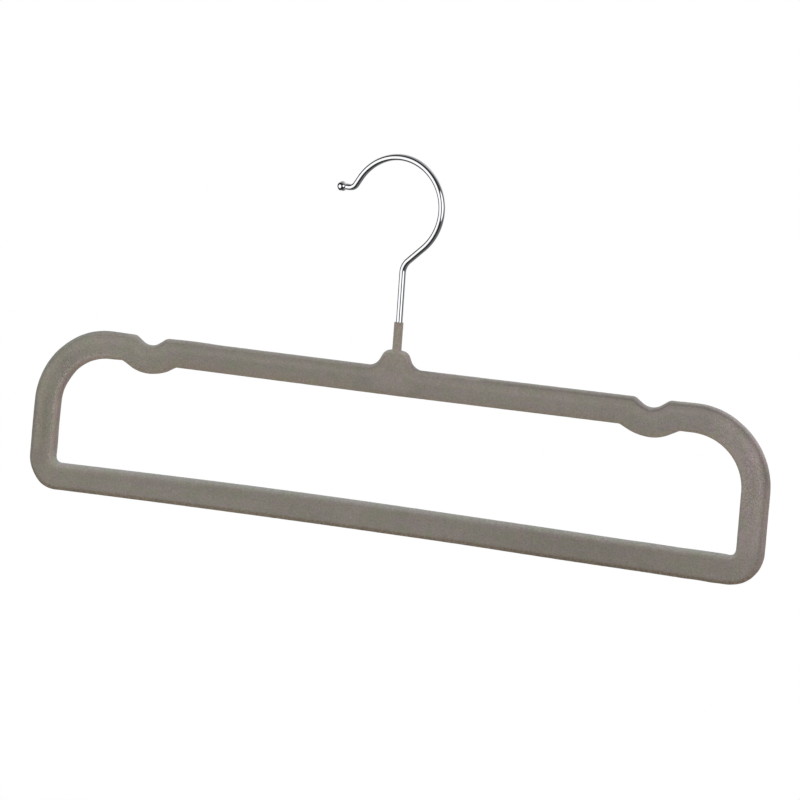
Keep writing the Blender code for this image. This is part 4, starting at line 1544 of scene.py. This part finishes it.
class HANGER_OT_hidden_works(Operator):
    """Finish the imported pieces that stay: the core halves, the collar and the washer"""

    bl_idname = "hanger.hidden_works"
    bl_label = "Core and bearing"

    def execute(self, context):
        finish = context.scene.hanger_finish
        plastic = core_material(finish)
        finishes = {
            "core_front_half": plastic,
            "core_rear_half": plastic,
            "retaining_collar": steel_material(finish),
            "thrust_washer": nylon_material(finish),
        }
        for node, material in finishes.items():
            slots = frame["nodes"][node].data.materials
            slots.clear()
            slots.append(material)
        return {"FINISHED"}


def add_lamp(name, watts, spot, tint):
    """A large square lamp that lights the matt surfaces and isn't seen itself."""
    data = bpy.data.lights.new(name, "AREA")
    data.shape = "SQUARE"
    data.size = LAMP_SIZE
    data.energy = watts
    data.color = tint
    lamp = bpy.data.objects.new(name, data)
    bpy.context.scene.collection.objects.link(lamp)
    lamp.location = spot
    lamp.rotation_euler = (Vector(LAMP_TARGET) - Vector(spot)).to_track_quat("-Z", "Y").to_euler()
    lamp.visible_camera = False
    lamp.visible_glossy = False


def mix_surfaces(tree, surface, factor, one, other):
    """Show one shader where a factor is zero and the other where it is one."""
    mix = add_node(tree, "ShaderNodeMixShader", {0: factor, 1: one, 2: other})
    tree.links.new(mix.outputs[0], surface)


def light_world(studio):
    """A white room for the camera and the reflections, and a plain level for matt surfaces."""
    world = bpy.data.worlds.new("studio_room")
    bpy.context.scene.world = world
    tree, surface = emptied(world, "ShaderNodeOutputWorld")
    white = add_node(tree, "ShaderNodeBackground", {"Color": WHITE}).outputs[0]
    room = add_node(tree, "ShaderNodeBackground", {"Color": WHITE, "Strength": studio.room}).outputs[0]
    path = tree.nodes.new("ShaderNodeLightPath").outputs
    seen = maths(tree, "MAXIMUM", path["Is Camera Ray"], path["Is Glossy Ray"])
    seen = maths(tree, "MAXIMUM", seen, path["Is Transmission Ray"])
    mix_surfaces(tree, surface, seen, room, white)


def floor_material(studio):
    """The pale floor, which takes the object's shadow and fades to white away from it."""
    material = bpy.data.materials.new("studio_floor")
    tree, surface = emptied(material)
    place = object_place(tree)
    shade = patches(tree, place, FLOOR_PATCH)
    inputs = {
        "Base Color": tone(tree, rgba(studio.floor), shade, FLOOR_MOTTLE),
        "Roughness": FLOOR_ROUGHNESS,
        "Specular IOR Level": FLOOR_SPECULAR,
    }
    shader = add_node(tree, "ShaderNodeBsdfPrincipled", inputs).outputs["BSDF"]
    axes = axes_of(tree, place)
    gone = vector_maths(tree, "LENGTH", combined(tree, axes["X"], axes["Y"], 0.0))
    far = map_range(tree, gone, FLOOR_FADE_FROM, FLOOR_FADE_TO, FLOOR_LIFT, 1.0)
    seen = tree.nodes.new("ShaderNodeLightPath").outputs["Is Camera Ray"]
    white = add_node(tree, "ShaderNodeEmission", {"Color": WHITE}).outputs[0]
    mix_surfaces(tree, surface, maths(tree, "MULTIPLY", seen, far), shader, white)
    return material


def card_material(name, level):
    """A studio card with a soft edge, which only the chrome mirrors."""
    material = bpy.data.materials.new(name)
    tree, surface = emptied(material)
    body = map_range(tree, measured(tree, CARD_ATTRIBUTE), 0.0, 1.0, 0.0, 1.0)
    clear = tree.nodes.new("ShaderNodeBsdfTransparent").outputs[0]
    glow = add_node(tree, "ShaderNodeEmission", {"Color": rgba((level,) * 3)}).outputs[0]
    mix_surfaces(tree, surface, body, clear, glow)
    return material


def add_card(name, level, distance, across, up, half_width, half_height, soft):
    """A curved oval card round the hook: part of a ball whose pole points to the camera.

    Angles are those away from the camera's direction, to the right and upwards in the picture.
    Soft is the share of the card over which its edge fades.
    """
    deselect_all()
    bpy.ops.mesh.primitive_uv_sphere_add(
        segments=CARD_SEGMENTS, ring_count=CARD_RINGS, radius=distance
    )
    card = bpy.context.object
    card.name = card.data.name = name
    body = card.data.attributes.new(CARD_ATTRIBUTE, "FLOAT", "POINT")
    for vertex in card.data.vertices:
        tilt = vertex.co.angle(Vector(UPWARDS))
        turn = math.atan2(vertex.co.y, vertex.co.x)
        beside = (tilt * math.cos(turn) - math.radians(across)) / math.radians(half_width)
        above = (tilt * math.sin(turn) - math.radians(up)) / math.radians(half_height)
        inside = (1.0 - math.hypot(beside, above)) / soft
        body.data[vertex.index].value = min(max(inside, 0.0), 1.0)
    values = [entry.value for entry in body.data]
    only(card)
    edit("FACE")
    select_where(card, "polygons", lambda face: not any(values[i] for i in face.vertices))
    bpy.ops.mesh.delete(type="FACE")
    bpy.ops.object.mode_set(mode="OBJECT")
    card.matrix_world = Matrix.Translation(HOOK_MIDDLE) @ camera_axes().to_4x4()
    bpy.ops.object.transform_apply(location=True, rotation=True, scale=True)
    card.data.materials.append(card_material(name, level))
    card.visible_camera = False
    card.visible_diffuse = False
    card.visible_transmission = False
    card.visible_shadow = False


def camera_axes():
    """The camera's right, up and backward directions as the columns of a matrix."""
    right, forward = Vector(CAMERA_RIGHT), Vector(CAMERA_FORWARD)
    up = right.cross(forward)
    return Matrix((right, up, -forward)).transposed()


class HANGER_OT_studio(Operator):
    """Set the pale floor, the lamps, the drapes and soft boxes, the white room and the camera"""

    bl_idname = "hanger.studio"
    bl_label = "Studio"

    def execute(self, context):
        studio, sizes = context.scene.hanger_studio, context.scene.hanger_loop
        level = loop_place(sizes).z - studio.floor_drop
        deselect_all()
        bpy.ops.mesh.primitive_circle_add(
            vertices=FLOOR_SIDES, radius=FLOOR_RADIUS, fill_type="NGON", location=(0.0, 0.0, level)
        )
        floor = context.object
        floor.name = floor.data.name = "studio_floor"
        bpy.ops.object.transform_apply(location=True)
        floor.data.materials.append(floor_material(studio))
        floor.visible_glossy = False
        for name, watts in (("top", studio.top), ("key", studio.key), ("fill", studio.fill)):
            add_lamp(f"{name}_lamp", watts, *LAMPS[name])
        light_world(studio)
        for card in CARDS:
            add_card(*card)
        data = bpy.data.cameras.new("photo_camera")
        data.lens = CAMERA_LENS
        data.sensor_width = CAMERA_SENSOR
        camera = bpy.data.objects.new("photo_camera", data)
        context.scene.collection.objects.link(camera)
        camera.matrix_world = Matrix.Translation(CAMERA_PLACE) @ camera_axes().to_4x4()
        context.scene.camera = camera
        context.scene.view_settings.view_transform = "Standard"
        return {"FINISHED"}


OPERATORS = (
    HANGER_OT_velvet_loop,
    HANGER_OT_flocked_neck,
    HANGER_OT_hook_wire,
    HANGER_OT_hook_ball,
    HANGER_OT_hidden_works,
    HANGER_OT_studio,
)


class HANGER_PT_panel(Panel):
    """The hanger's settings and steps in the 3D view's sidebar"""

    bl_idname = "HANGER_PT_panel"
    bl_label = "Hanger"
    bl_space_type = "VIEW_3D"
    bl_region_type = "UI"
    bl_category = "Hanger"

    def draw(self, context):
        scene = context.scene
        for settings in (scene.hanger_loop, scene.hanger_hook, scene.hanger_finish, scene.hanger_studio):
            box = self.layout.box()
            for name in settings.__annotations__:
                box.prop(settings, name)
        for step in OPERATORS:
            self.layout.operator(step.bl_idname)


CLASSES = (HangerLoopSizes, HangerHookSizes, HangerFinish, HangerStudio, *OPERATORS, HANGER_PT_panel)


def register():
    """Register the classes and put the settings on the scene."""
    for kind in CLASSES:
        bpy.utils.register_class(kind)
    Scene.hanger_loop = PointerProperty(type=HangerLoopSizes)
    Scene.hanger_hook = PointerProperty(type=HangerHookSizes)
    Scene.hanger_finish = PointerProperty(type=HangerFinish)
    Scene.hanger_studio = PointerProperty(type=HangerStudio)


def unregister():
    """Take the settings and the classes away again."""
    del Scene.hanger_loop, Scene.hanger_hook, Scene.hanger_finish, Scene.hanger_studio
    for kind in reversed(CLASSES):
        bpy.utils.unregister_class(kind)


def main():
    """Build the pieces and the studio in order."""
    register()
    bpy.ops.hanger.velvet_loop()
    bpy.ops.hanger.flocked_neck()
    bpy.ops.hanger.hook_wire()
    bpy.ops.hanger.hook_ball()
    bpy.ops.hanger.hidden_works()
    bpy.ops.hanger.studio()


if __name__ == "__main__":
    main()
